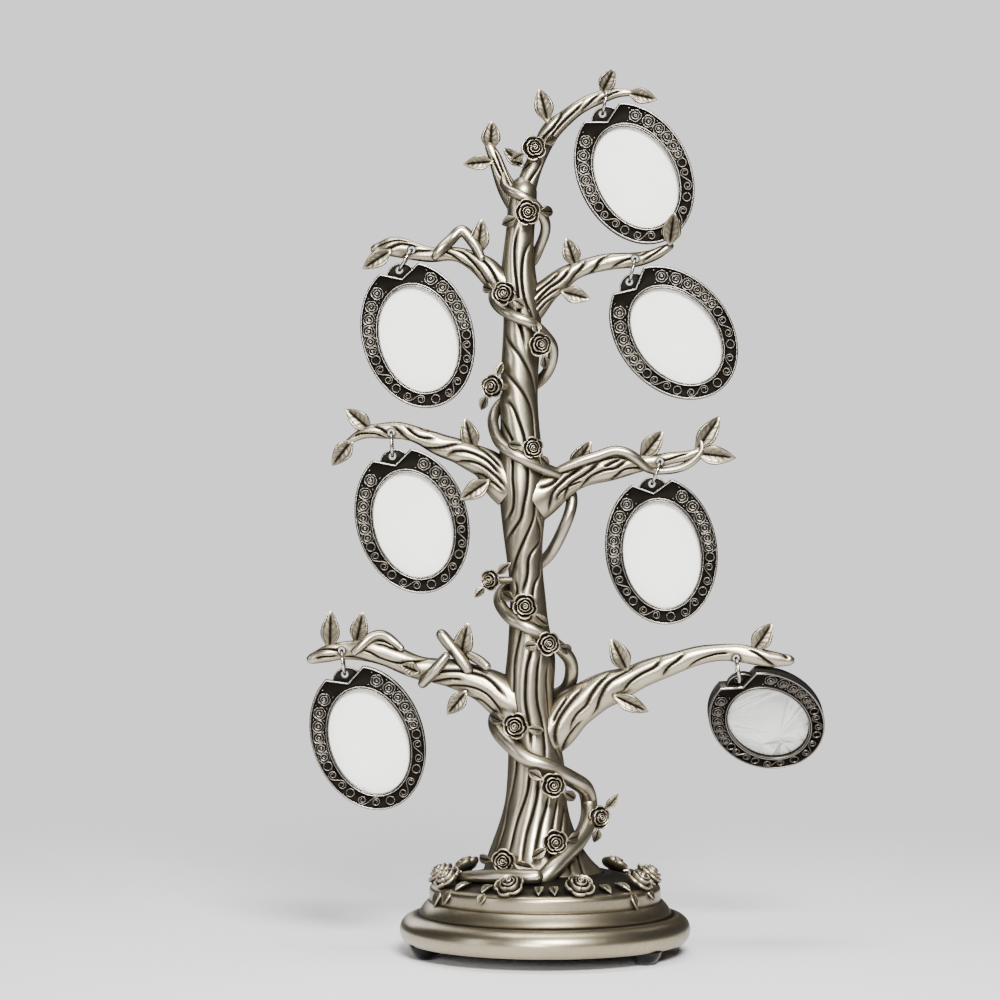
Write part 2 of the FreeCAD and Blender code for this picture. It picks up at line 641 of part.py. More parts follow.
def vine_width_near(row):
    nearest = min(VINE_PX, key=lambda entry: abs(entry[0] - row))
    return nearest[3] * MM_PER_PIXEL


def make_vine_roses(carriers):
    roses = []
    for column, row, diameter, *leaf_tips in VINE_ROSES_PX:
        place, outward = bark_place(column, row, vine_width_near(row) + CLEARANCE)
        facing = rose_facing(outward)
        stem_radius = diameter * MM_PER_PIXEL / 2.0 * ROSE_STEM_SHARE
        stem_reach = stem_radius + ROSE_STEM_REACH_SHARE * vine_width_near(row)
        stem = Part.makeCylinder(stem_radius, stem_reach, place + facing * stem_radius, outward * -1.0)
        rose = placed(make_rose(diameter * MM_PER_PIXEL), place, facing).fuse(stem)
        roses.append(trimmed(rose, carriers))
    return roses


def make_rose_leaves(carriers):
    leaves = []
    for column, row, diameter, *leaf_tips in VINE_ROSES_PX:
        width = vine_width_near(row)
        place, outward = bark_place(column, row, width + CLEARANCE)
        facing = rose_facing(outward)
        radius = diameter * MM_PER_PIXEL / 2.0
        for tip_column, tip_row in leaf_tips:
            tip = bark_place(tip_column, tip_row, width * ROSE_LEAF_STAND_SHARE)[0]
            away = tip - place
            beside = (away - facing * away.dot(facing)).normalize()
            foot = place + beside * (radius * ROSE_LEAF_FOOT_SHARE) + facing * LEAF_THICKNESS
            tip = tip + beside * (ROSE_LEAF_REACH_SHARE * radius)
            leaf_width = diameter * MM_PER_PIXEL * ROSE_LEAF_WIDTH_SHARE
            leaf = make_leaf(foot, tip, facing, leaf_width, LEAF_THICKNESS)
            leaves.append(trimmed(leaf, carriers))
    return leaves


def make_base_roses():
    roses = []
    radius = BASE_TOP_RADIUS * BASE_ROSE_CIRCLE_SHARE
    fall = (base_top_z(BASE_SEAT_RADIUS) - base_top_z(radius)) / (radius - BASE_SEAT_RADIUS)
    for degrees in BASE_ROSE_DEGREES:
        outward = on_circle(fall, degrees, 1.0).normalize()
        place = on_circle(radius, degrees, base_top_z(radius)) + outward * CLEARANCE
        roses.append(placed(make_rose(BASE_ROSE_DIAMETER), place, outward))
    return roses


def make_base_leaves(others):
    leaves = []
    radius = BASE_TOP_RADIUS * BASE_ROSE_CIRCLE_SHARE
    fall = (base_top_z(BASE_SEAT_RADIUS) - base_top_z(radius)) / (radius - BASE_SEAT_RADIUS)
    for degrees in BASE_LEAF_DEGREES:
        outward = on_circle(fall, degrees, 1.0).normalize()
        lift = outward * (LEAF_THICKNESS / 2.0 + CLEARANCE)
        inner = radius - BASE_LEAF_LENGTH / 2.0
        outer = radius + BASE_LEAF_LENGTH / 2.0
        foot = on_circle(inner, degrees, base_top_z(inner)) + lift
        tip = on_circle(outer, degrees, base_top_z(outer)) + lift
        leaf = make_leaf(foot, tip, outward, BASE_LEAF_WIDTH, LEAF_THICKNESS)
        leaves.append(trimmed(leaf, others))
    return leaves


def make_trunk_vine(others):
    places = [vine_point(*row) for row in VINE_PX]
    centres = [centre for centre, radius in places]
    radii = [radius for centre, radius in places]
    vine = tube(centres, radii, FreeCAD.Vector(0, 0, 1))
    return trimmed_lengths(vine, others)


def make_root_vine(others):
    centres = []
    radii = []
    for degrees, radius_share, width in ROOT_VINE_SHARES:
        half = width * MM_PER_PIXEL / 2.0
        radius = BASE_TOP_RADIUS * radius_share
        centres.append(on_circle(radius, degrees, base_top_z(radius) + half + CLEARANCE))
        radii.append(half)
    return trimmed(tube(centres, radii, FreeCAD.Vector(0, 0, 1)), others)


def make_tendrils(name, others):
    strands = []
    for rows in TENDRILS_PX[name]:
        centres = [point(column, row, depth) for column, row, depth, width in rows]
        radii = [width * MM_PER_PIXEL / 2.0 for column, row, depth, width in rows]
        strands.append(trimmed(tube(centres, radii, FreeCAD.Vector(0, 1, 0)), others))
    return strands


def make_branch_leaves(others):
    leaves = []
    drills = [eye_drill(eye_place(hanger), EYE_THICKNESS) for hanger in HANGERS_PX]
    for column, row, depth, tip_column, tip_row, tip_depth, width in LEAVES_PX:
        foot = point(column, row, depth)
        tip = point(tip_column, tip_row, tip_depth)
        front = FreeCAD.Vector(0, -1, 0)
        leaf = make_leaf(foot, tip, front, width * MM_PER_PIXEL, LEAF_THICKNESS)
        leaves.append(trimmed(leaf, drills + others))
    return leaves


def stretched_oval(half_width, half_height, centre_z, y_front, thickness):
    # An oval disc: a round one stretched upright.
    disc = Part.makeCylinder(half_width, thickness, FreeCAD.Vector(), FreeCAD.Vector(0, 1, 0))
    stretch = FreeCAD.Matrix()
    stretch.scale(1.0, 1.0, half_height / half_width)
    disc = disc.transformGeometry(stretch)
    disc.translate(FreeCAD.Vector(0, y_front, centre_z))
    return disc


def notch_block(margin, y_front, thickness):
    # The V between the two shoulders, widened by a margin.
    half_width = NOTCH_HALF_WIDTH + margin
    floor_z = NOTCH_FLOOR_Z - margin
    shoulder_z = BEZEL_HALF_HEIGHT - margin * NOTCH_SHOULDER_SHARE
    clear_z = BEZEL_HALF_HEIGHT + BEZEL_THICKNESS
    points = [
        FreeCAD.Vector(0, y_front, floor_z),
        FreeCAD.Vector(half_width, y_front, shoulder_z),
        FreeCAD.Vector(half_width, y_front, clear_z),
        FreeCAD.Vector(-half_width, y_front, clear_z),
        FreeCAD.Vector(-half_width, y_front, shoulder_z),
        FreeCAD.Vector(0, y_front, floor_z),
    ]
    return Part.Face(Part.makePolygon(points)).extrude(FreeCAD.Vector(0, thickness, 0))


def make_bezel():
    front = -BEZEL_THICKNESS / 2.0
    body = stretched_oval(BEZEL_HALF_WIDTH, BEZEL_HALF_HEIGHT, BEZEL_RISE, front, BEZEL_THICKNESS)
    body = body.cut(notch_block(0.0, front, BEZEL_THICKNESS))
    tab_foot = FreeCAD.Vector(0, -TAB_THICKNESS / 2.0, TAB_CENTRE_Z)
    tab = Part.makeCylinder(TAB_RADIUS, TAB_THICKNESS, tab_foot, FreeCAD.Vector(0, 1, 0))
    body = body.fuse(tab)
    channel = stretched_oval(
        BEZEL_HALF_WIDTH - BEZEL_OUTER_LIP, BEZEL_HALF_HEIGHT - BEZEL_OUTER_LIP, BEZEL_RISE,
        front, BEZEL_CHANNEL_DEPTH,
    )
    inner_lip = stretched_oval(
        WINDOW_HALF_WIDTH + BEZEL_INNER_LIP, WINDOW_HALF_HEIGHT + BEZEL_INNER_LIP, 0.0,
        front, BEZEL_CHANNEL_DEPTH,
    )
    channel = channel.cut(inner_lip)
    channel = channel.cut(notch_block(BEZEL_OUTER_LIP, front, BEZEL_CHANNEL_DEPTH))
    body = body.cut(channel)
    window = stretched_oval(
        WINDOW_HALF_WIDTH, WINDOW_HALF_HEIGHT, 0.0, front - OVERRUN, BEZEL_THICKNESS + 2.0 * OVERRUN
    )
    rebate = stretched_oval(
        WINDOW_HALF_WIDTH + REBATE_WIDTH, WINDOW_HALF_HEIGHT + REBATE_WIDTH, 0.0,
        front + BEZEL_FRONT_LIP_THICKNESS, BEZEL_THICKNESS,
    )
    hole = Part.makeCylinder(
        TAB_HOLE_RADIUS, BEZEL_THICKNESS, FreeCAD.Vector(0, front, TAB_HOLE_Z), FreeCAD.Vector(0, 1, 0)
    )
    return largest(body.cut(window).cut(rebate).cut(hole))


def make_insert(depth, thickness):
    # A pane, card or back that lies in the rebate, this far behind its front lip.
    front = -BEZEL_THICKNESS / 2.0 + BEZEL_FRONT_LIP_THICKNESS + depth
    return stretched_oval(
        WINDOW_HALF_WIDTH + REBATE_WIDTH - CLEARANCE, WINDOW_HALF_HEIGHT + REBATE_WIDTH - CLEARANCE, 0.0,
        front, thickness,
    )


def ring_direction(hanger):
    lean = math.radians(hanger[2])
    return FreeCAD.Vector(-math.sin(lean), 0.0, -math.cos(lean))


def ring_normal(hanger):
    lean = math.radians(hanger[2])
    return FreeCAD.Vector(math.cos(lean), 0.0, -math.sin(lean))


def ring_centre(hanger):
    return eye_place(hanger) + ring_direction(hanger) * RING_RADIUS


def make_ring(hanger):
    return Part.makeTorus(RING_RADIUS, RING_WIRE_RADIUS, ring_centre(hanger), ring_normal(hanger))


def frame_placement(hanger):
    # From the upright frame, window centre at the origin, to its place on the ring.
    lean = FreeCAD.Rotation(FreeCAD.Vector(0, 1, 0), -hanger[3])
    tab_hole = eye_place(hanger) + ring_direction(hanger) * (2.0 * RING_RADIUS)
    place = tab_hole - lean.multVec(FreeCAD.Vector(0, 0, TAB_HOLE_Z))
    hung = FreeCAD.Placement(place, lean)
    centre = ring_centre(hanger)
    kick = FreeCAD.Placement(FreeCAD.Vector(), FreeCAD.Rotation(ring_normal(hanger), hanger[4]), centre)
    return kick.multiply(hung)


def hung_copy(shape, hanger):
    result = shape.copy()
    result.Placement = frame_placement(hanger).multiply(shape.Placement)
    return result


def build_parts():
    parts = {}
    trunk = bolted_trunk()
    branches = {name: make_branch(rows, trunk, HANGERS_PX) for name, rows in BRANCH_PX.items()}
    branch_list = list(branches.values())
    base_shell = make_base_shell()
    parts["base_shell"] = [base_shell]
    parts["bottom_plate"] = [make_bottom_plate()]
    parts["ball_feet"] = make_ball_feet()
    parts["trunk_bolt"] = [make_bolt()]
    parts["bolt_washer"] = [make_washer()]
    parts["trunk"] = [trunk]
    for name, branch in branches.items():
        parts[name] = [branch]
    vine = make_trunk_vine([trunk, base_shell] + branch_list)
    parts["trunk_vine"] = vine
    parts["base_roses"] = make_base_roses()
    root_vine = make_root_vine([trunk] + vine + parts["base_roses"])
    parts["root_vine"] = [root_vine]
    tendrils = []
    for name in TENDRILS_PX:
        parts[name] = make_tendrils(name, [trunk] + vine + branch_list)
        tendrils += parts[name]
    parts["branch_leaves"] = make_branch_leaves([trunk] + vine + branch_list + tendrils)
    carriers = [trunk] + vine + branch_list + tendrils + parts["branch_leaves"]
    parts["vine_roses"] = make_vine_roses(carriers)
    parts["rose_leaves"] = make_rose_leaves(carriers + parts["vine_roses"])
    parts["base_leaves"] = make_base_leaves([root_vine])
    bezel = make_bezel()
    pane = make_insert(0.0, PANE_THICKNESS)
    card = make_insert(PANE_THICKNESS, CARD_THICKNESS)
    back_depth = PANE_THICKNESS + CARD_THICKNESS
    back = make_insert(back_depth, BEZEL_THICKNESS - BEZEL_FRONT_LIP_THICKNESS - back_depth)
    for number, hanger in enumerate(HANGERS_PX, start=1):
        parts[f"ring_{number}"] = [make_ring(hanger)]
        parts[f"frame_{number}_bezel"] = [hung_copy(bezel, hanger)]
        parts[f"frame_{number}_pane"] = [hung_copy(pane, hanger)]
        parts[f"frame_{number}_card"] = [hung_copy(card, hanger)]
        parts[f"frame_{number}_back"] = [hung_copy(back, hanger)]
    return parts


def write_parts():
    os.makedirs("parts", exist_ok=True)
    for name, solids in build_parts().items():
        shape = solids[0] if len(solids) == 1 else Part.makeCompound(solids)
        shape.exportStep(f"parts/{name}.step")
        print(name, len(solids), round(sum(solid.Volume for solid in solids), 1), shape.isValid())


write_parts()
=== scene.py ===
import math

import bpy
import numpy as np
from mathutils import Matrix, Vector


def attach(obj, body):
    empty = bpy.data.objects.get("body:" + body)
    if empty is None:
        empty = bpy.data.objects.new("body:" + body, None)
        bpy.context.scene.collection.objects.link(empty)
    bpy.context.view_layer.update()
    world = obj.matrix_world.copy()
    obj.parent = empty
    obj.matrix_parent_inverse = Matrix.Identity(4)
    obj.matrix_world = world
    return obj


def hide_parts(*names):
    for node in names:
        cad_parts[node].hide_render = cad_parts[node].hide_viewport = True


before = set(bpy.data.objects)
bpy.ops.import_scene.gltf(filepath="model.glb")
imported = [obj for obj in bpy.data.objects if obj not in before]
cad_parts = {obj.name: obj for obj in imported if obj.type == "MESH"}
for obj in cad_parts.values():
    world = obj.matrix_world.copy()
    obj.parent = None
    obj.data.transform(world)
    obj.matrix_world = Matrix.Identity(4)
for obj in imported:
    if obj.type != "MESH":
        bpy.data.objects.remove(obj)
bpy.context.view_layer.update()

# Lengths in this script are millimetres and are turned into metres as each mesh is made.
METRES = 0.001
TREE_HEIGHT = 364.0
FLOOR_PY = 953.0
TREE_TOP_PY = 68.0
TREE_AXIS_PX = 545.0
MM_PER_PIXEL = TREE_HEIGHT / (FLOOR_PY - TREE_TOP_PY)
CLEARANCE = 0.1
FRONT = np.array((0.0, -1.0, 0.0))

# Camera: level, in front of the tree, as far away as the photograph was taken.
CAMERA_DISTANCE = 1320.0
CAMERA_X = -18.5
CAMERA_Z = 186.3
CAMERA_LENS = 115.6
CAMERA_SENSOR = 36.0
CAMERA_REACH = 60.0

# Base casting.
BASE_RIM_RADIUS = 59.59
BASE_RIM_UNDERCUT = 2.2
BASE_RIM_BELLY_Z = 9.0
BASE_RIM_TOP_Z = 16.5
BASE_STEP_RADIUS = 52.2
BASE_STEP_LEDGE = 1.4
BASE_STEP_Z = 22.0
BASE_TOP_RADIUS = 47.5
BASE_TOP_LEDGE = 0.9
BASE_EDGE_Z = 26.5
BASE_EDGE_ROUND = 2.4
BASE_SEAT_RADIUS = 27.5
BASE_SEAT_Z = 33.5
BASE_UNDERSIDE_Z = 5.5
BASE_WALL = 3.2
BASE_HOLE_RADIUS = 3.4
BOTTOM_PLATE_RADIUS = 44.0
BOTTOM_PLATE_THICKNESS = 1.5
FOOT_BALL_RADIUS = 7.0
FOOT_FLAT_DEPTH = 0.4
FOOT_CIRCLE_RADIUS = 51.5
FOOT_DEGREES = (-70.0, 50.0, 170.0)
# Dirt on the base: strength and width in the groove and in the crease, and on its hidden and upper faces; the
# upper face's darkening is partly painted shade, growing towards the trunk.
BASE_GROOVE_DIRT = (0.95, 1.1)
BASE_CREASE_DIRT = (0.6, 0.8)
BASE_HOLLOW_DIRT = 0.6
BASE_TOP_STAIN_AND_SHADE = (0.42, 0.62)
BASE_TOP_SHADE_RISE = 0.22
BASE_TOP_MARGIN = 0.1

# Trunk: (row, left edge, right edge) in picture coordinates.
TRUNK_OUTLINE_PX = [
    (860, 486, 592), (840, 493, 579), (820, 500, 571), (800, 505, 567), (780, 507, 566),
    (750, 508, 562), (720, 506, 556), (690, 504, 554), (655, 507, 555), (625, 509, 549),
    (600, 510, 546), (570, 508, 543), (540, 504, 543), (505, 500, 546), (475, 498, 545),
    (440, 500, 541), (400, 500, 538), (350, 502, 540), (310, 503, 541), (280, 501, 537),
    (245, 504, 534), (215, 507, 536), (190, 508, 537), (176, 511, 536),
]
TRUNK_FOOT_PX = (483, 604)
TRUNK_DEPTH_SHARE = 0.92
TRUNK_TOP_ROUND = 7.0
TRUNK_TOP_CLOSING = 0.96

# Carved lines of the bark as the front shows them: (column, row).
TRUNK_LINES_PX = [
    [(507, 228), (505, 245), (503, 262), (502, 285), (503, 310)],
    [(520, 226), (516, 238), (514, 250), (514, 262), (515, 275), (517, 290), (518, 305), (519, 322),
     (524, 342), (526, 352)],
    [(536, 238), (529, 247), (525, 254), (523, 262), (522, 272), (522, 282), (523, 292), (526, 303),
     (530, 312), (536, 326)],
    [(504, 334), (507, 341), (514, 350), (521, 358), (527, 367), (532, 377), (535, 388), (538, 400)],
    [(502, 370), (511, 380), (519, 388), (526, 397), (530, 405), (533, 415), (534, 425), (535, 442),
     (536, 456)],
    [(501, 400), (509, 404), (514, 411), (518, 420), (522, 430), (525, 440), (526, 452)],
    [(501, 421), (506, 431), (510, 438), (514, 446)],
    [(511, 452), (512, 462), (512, 472), (512, 482), (513, 491), (513, 500), (512, 508), (508, 516),
     (504, 522)],
    [(526, 460), (528, 470), (528, 480), (527, 490), (525, 499), (523, 508), (521, 517), (516, 525),
     (510, 533), (504, 542)],
    [(538, 480), (537, 490), (535, 500), (535, 512), (533, 521), (529, 530), (524, 540), (520, 548),
     (516, 557), (512, 568), (509, 580)],
    [(536, 516), (539, 524), (541, 532), (541, 540), (534, 550), (529, 558), (528, 567), (527, 576),
     (524, 585), (520, 596)],
    [(541, 560), (540, 575), (536, 582), (533, 592), (532, 602)],
    [(514, 580), (516, 590), (513, 602), (511, 614)],
    [(522, 624), (518, 640), (515, 652), (513, 665), (513, 680), (513, 695), (515, 708), (516, 722)],
    [(533, 640), (531, 650), (528, 660), (526, 670), (525, 685), (525, 700), (527, 714), (530, 730),
     (530, 746)],
    [(542, 648), (538, 665), (537, 680), (537, 695), (539, 708), (542, 720), (544, 735), (545, 752),
     (544, 764)],
    [(549, 660), (547, 680), (548, 695), (549, 710), (550, 725), (552, 738), (557, 750), (563, 764)],
    [(517, 745), (516, 757), (515, 768), (513, 780), (511, 790), (507, 805), (505, 820), (501, 835),
     (496, 852)],
    [(529, 762), (528, 783), (525, 795), (520, 808), (515, 822), (511, 838), (506, 856)],
    [(539, 770), (538, 780), (537, 792), (534, 805), (530, 818), (526, 830), (523, 845), (520, 862)],
    [(549, 790), (545, 808), (541, 820), (538, 832), (535, 846), (534, 862)],
    [(559, 792), (556, 808), (553, 822), (551, 840), (552, 862)],
    [(565, 796), (564, 812), (562, 824), (563, 842), (568, 858), (571, 874)],
    [(572, 836), (577, 850), (580, 860), (584, 874)],
]
TRUNK_LINE_BACK_ROWS = 12.0
LINE_HALF_WIDTH = 0.42
LINE_DEPTH = 0.85
LINE_STEP = 0.35
LINE_SIDE_LIMIT = 0.97
LINE_FADE = 7.0
LINE_END_STRENGTH = 0.12
# The soft hollow beside each line.
BAND_HALF_WIDTH = 1.35
BAND_DEPTH = 0.34
BAND_REACH = 3.0
BAND_DIRT = 0.22

# Branches: (column, row, width) along the middle line.
BRANCH_DEPTH_SHARE = 0.8
BRANCH_TIP_SHARES = ((0.35, 0.8), (0.6, 0.42))
BRANCH_LEAST_HALF = 0.2
THICK_BRANCH_HALF = 6.0
# Lines are less deep where a branch is thinner than this, down to the least share.
FULL_CARVING_HALF = 4.0
LEAST_CARVING = 0.35
BRANCH_END_DIRT = 0.2
BRANCH_PX = {
    "branch_top": [
        (524, 196, 22), (530, 175, 20), (541, 150, 18), (551, 131, 20), (563, 120, 17), (577, 109, 15),
        (592, 101, 14), (605, 96, 13), (620, 93, 9), (629, 93, 7),
    ],
    "branch_stub": [
        (518, 206, 22), (508, 190, 20), (500, 172, 16), (494, 156, 13), (490, 148, 10),
    ],
    "branch_left_high": [
        (516, 288, 30), (497, 280, 26), (487, 270, 25), (475, 262, 20), (462, 256, 16), (448, 254, 14),
        (435, 255, 15), (420, 253, 17), (405, 249, 20), (390, 247, 19), (378, 249, 12),
    ],
    "branch_right_high": [
        (524, 312, 36), (533, 304, 32), (548, 290, 24), (562, 279, 22), (575, 271, 18), (590, 266, 17),
        (605, 262.5, 17), (620, 261, 16), (635, 260, 15), (648, 257, 13), (660, 252, 11), (669, 247, 8),
    ],
    "branch_left_mid": [
        (512, 488, 44), (500, 478, 40), (487, 465, 32), (473, 458, 28), (458, 451, 25), (443, 446, 23),
        (428, 439.5, 20), (412, 433.5, 17), (397, 430.5, 17.5), (382, 431, 16), (368, 432, 13), (356, 437, 9),
        (348, 442, 6),
    ],
    "branch_right_mid": [
        (532, 500, 48), (545, 492, 44), (560, 484, 34), (575, 477, 27), (592, 471, 27), (610, 468, 26),
        (627, 465, 22), (643, 463, 17), (658, 461, 14), (672, 458, 12), (686, 456, 10), (697, 452, 7),
    ],
    "branch_left_low": [
        (522, 708, 46), (508, 700, 44), (490, 688, 38), (472, 680, 32), (455, 674, 30), (438, 671, 26),
        (420, 668, 24), (402, 661, 24), (384, 653, 25), (368, 650, 24), (354, 650, 20), (340, 651, 18),
        (326, 654, 17), (314, 658, 12),
    ],
    "branch_right_low": [
        (542, 738, 46), (556, 728, 44), (570, 712, 42), (585, 701, 39), (600, 692, 36), (615, 686, 34),
        (630, 680, 28), (645, 673, 26), (662, 667, 24), (680, 661, 21), (700, 655, 19), (720, 652.5, 17),
        (738, 653, 18), (755, 656, 18), (772, 659, 16), (787, 660, 12),
    ],
}
BRANCH_LINES_PX = {
    "branch_top": [
        [(559, 107), (560, 116), (556, 124), (551, 131), (544, 137), (539, 146)],
        [(583, 102), (578, 109), (571, 116), (563, 124), (557, 131), (552, 138), (548, 148)],
        [(598, 95), (592, 101), (588, 106), (582, 112)],
        [(600, 102), (606, 98), (613, 94), (621, 91)],
        [(570, 103), (564, 110), (560, 116)],
        [(530, 163), (522, 170), (516, 178), (512, 188)],
        [(542, 160), (540, 168), (534, 176), (528, 184), (524, 193)],
    ],
    "branch_stub": [
        [(495, 150), (499, 160), (502, 168), (506, 178), (510, 190)],
        [(492, 158), (496, 168), (502, 178)],
        [(503, 160), (508, 172), (513, 184)],
    ],
    "branch_left_high": [
        [(452, 249), (456, 250), (463, 253), (470, 260), (477, 269), (483, 278), (489, 287), (496, 294)],
        [(466, 250), (478, 256), (487, 264), (493, 273), (498, 284), (504, 294)],
        [(444, 251), (455, 258), (462, 264), (470, 269), (476, 276)],
        [(402, 259), (408, 255), (415, 252), (425, 251), (434, 250)],
        [(386, 251), (394, 247), (402, 244), (410, 245), (418, 247)],
        [(375, 248), (383, 244), (392, 241), (400, 240), (410, 242)],
    ],
    "branch_right_high": [
        [(569, 267), (565, 276), (558, 283), (550, 288), (542, 296), (534, 306)],
        [(584, 261), (580, 270), (575, 276), (572, 281), (566, 288)],
        [(609, 255), (600, 260), (596, 268), (592, 273), (586, 278)],
        [(612, 269), (619, 264), (627, 260), (633, 258)],
        [(639, 256), (646, 252), (650, 249)],
        [(669, 239), (664, 245), (658, 251), (650, 257), (643, 263)],
        [(558, 273), (548, 283), (538, 291), (530, 300)],
        [(560, 289), (550, 295), (541, 302), (534, 311)],
        [(557, 297), (548, 303), (540, 312), (534, 320)],
    ],
    "branch_left_mid": [
        [(389, 423), (397, 429), (403, 436), (410, 442), (417, 447), (425, 449), (435, 449), (445, 447),
         (455, 444), (465, 443)],
        [(406, 425), (411, 431), (417, 436), (424, 438), (434, 438)],
        [(352, 437), (360, 434), (368, 434), (376, 435), (386, 439)],
        [(374, 425), (383, 430), (389, 435)],
        [(422, 428), (428, 430), (434, 430)],
        [(446, 459), (452, 453), (460, 451), (470, 452), (480, 456), (488, 461), (494, 467), (501, 476)],
        [(455, 463), (465, 462), (475, 463), (485, 468), (493, 474), (501, 482), (506, 490)],
        [(472, 474), (482, 476), (488, 480), (495, 485), (503, 492)],
        [(479, 446), (487, 452), (494, 459), (501, 467)],
    ],
    "branch_right_mid": [
        [(598, 461), (592, 468), (585, 474), (576, 480), (570, 485), (567, 491), (565, 499)],
        [(583, 464), (575, 471), (567, 477), (560, 484), (554, 491), (551, 500), (549, 512)],
        [(538, 487), (545, 486), (552, 483), (557, 478), (560, 472)],
        [(580, 490), (586, 482), (591, 477), (598, 473), (606, 470), (616, 468), (621, 464), (627, 459)],
        [(610, 482), (617, 476), (623, 471), (631, 469), (642, 469), (650, 471)],
        [(604, 467), (612, 462), (619, 459)],
        [(658, 462), (668, 460), (678, 456), (688, 453)],
        [(556, 500), (562, 492), (572, 486), (582, 482)],
    ],
    "branch_left_low": [
        [(315, 659), (322, 657), (331, 657), (338, 656)],
        [(313, 651), (325, 648), (335, 649), (345, 651)],
        [(360, 649), (370, 652), (378, 657), (388, 661), (398, 663), (410, 662), (420, 660), (429, 657)],
        [(377, 643), (385, 644), (392, 647), (402, 649)],
        [(366, 640), (376, 638), (386, 641), (396, 646)],
        [(428, 672), (440, 671), (450, 670), (462, 670), (475, 672), (485, 675), (493, 681), (500, 689),
         (507, 698)],
        [(428, 683), (440, 681), (450, 679), (463, 679)],
        [(438, 688), (455, 686), (470, 687), (480, 690), (490, 697), (497, 706), (503, 715)],
        [(470, 698), (480, 700), (488, 706), (496, 713)],
        [(463, 660), (470, 664), (480, 667), (492, 669)],
        [(345, 657), (356, 658), (366, 661), (376, 664)],
    ],
    "branch_right_low": [
        [(610, 671), (600, 680), (594, 688), (589, 697), (586, 704), (578, 712), (573, 720), (570, 730)],
        [(582, 686), (575, 694), (568, 703), (561, 713), (556, 724), (555, 736), (558, 748)],
        [(566, 695), (562, 702), (556, 712), (552, 722)],
        [(638, 661), (626, 670), (614, 677), (606, 684), (602, 692), (599, 700), (597, 708), (591, 716)],
        [(660, 657), (654, 666), (645, 671), (635, 677), (627, 685), (623, 693)],
        [(683, 653), (675, 661), (668, 667), (663, 676)],
        [(688, 668), (697, 661), (706, 657), (716, 654), (730, 653)],
        [(748, 649), (757, 653), (762, 657), (768, 662), (774, 667)],
        [(782, 652), (787, 658)],
        [(562, 752), (566, 741), (573, 730), (582, 720)],
    ],
}
BRANCH_LINE_BACK_SHARE = 0.04

EYE_RADIUS = 3.3
EYE_THICKNESS = 4.4
EYE_HOLE_RADIUS = 1.5
EYE_FLARE_SHARE = 0.3
EYE_CUT_RADIUS = 1.15
EYE_SPREAD_RADIUS = 2.9
EYE_DIRT = 0.75
EYE_DIRT_POWER = 1.5
EYE_EDGE_DIRT = 0.6

# Vine: (row, degrees round the trunk from the front towards +X, lift off the bark in pixels, width).
VINE_PX = [
    (878, -8, 0, 18), (866, 6, 0, 18), (856, 20, 0, 18), (846, 36, 1, 17.5), (836, 55, 3, 17),
    (824, 74, 7, 17), (812, 88, 11, 17), (801, 94, 13, 17), (791, 88, 11, 17), (781, 68, 6, 17),
    (773, 48, 2, 16.5), (766, 28, 0, 16), (761, 7, 0, 16), (756, -14, 0, 16), (748, -34, 0, 15.5),
    (740, -54, 0, 15), (731, -74, 2, 15), (720, -95, 4, 14), (711, -130, 2, 14), (703, -180, 2, 14),
    (697, -225, 4, 14), (689, -250, 8, 14), (676, -264, 10, 14), (662, -276, 9, 13.5),
    (650, -295, 5, 13.5), (641, -313, 2, 13), (634, -333, 0, 13), (628, -355, 0, 13), (623, -378, 0, 13),
    (618, -402, 0, 13), (611, -426, 1, 12.5), (601, -450, 4, 12.5), (590, -478, 3, 12),
    (580, -515, 1, 12), (570, -555, 1, 12), (558, -590, 5, 12), (542, -612, 10, 12), (526, -620, 15, 12),
    (511, -622, 19, 12), (497, -618, 21, 12), (484, -622, 16, 12), (475, -640, 8, 12), (470, -664, 2, 12),
    (465, -690, 0, 12), (459, -715, 0, 12), (453, -740, 0, 12), (445, -766, 0, 12), (434, -792, 0, 11.5),
    (421, -812, 1, 11.5), (408, -838, 0, 11.5), (396, -880, 0, 11.5), (386, -930, 0, 11.5),
    (374, -968, 3, 11.5), (360, -986, 7, 11), (347, -998, 7, 11), (337, -1016, 3, 11),
    (329, -1037, 0, 11), (324, -1060, 0, 11), (320, -1084, 0, 11), (316, -1108, 0, 11),
    (311, -1134, 0, 11), (303, -1158, 2, 11), (294, -1182, 3, 11), (284, -1212, 2, 11),
    (272, -1256, 0, 11), (260, -1300, 0, 11), (248, -1328, 1, 10.5), (236, -1346, 4, 10.5),
    (224, -1362, 5, 10.5), (213, -1382, 2, 10.5), (205, -1406, 0, 10.5), (199, -1436, 0, 10.5),
    (194, -1470, 0, 10), (187, -1504, 1, 9), (178, -1522, 3, 8), (171, -1530, 4, 6),
]
ROOT_VINE_SHARES = (
    (-2, 0.69, 15), (-12, 0.70, 15), (-24, 0.70, 15), (-36, 0.715, 14), (-47, 0.735, 13), (-57, 0.76, 12),
    (-66, 0.785, 10), (-74, 0.80, 6),
)
TUBE_LEAST_RADIUS = 0.05
TUBE_END_LIMIT = 0.99
TENDRIL_FULLNESS = {"tendril_left_high": 1.15, "tendril_right_mid": 1.0, "tendril_left_low": 1.18}
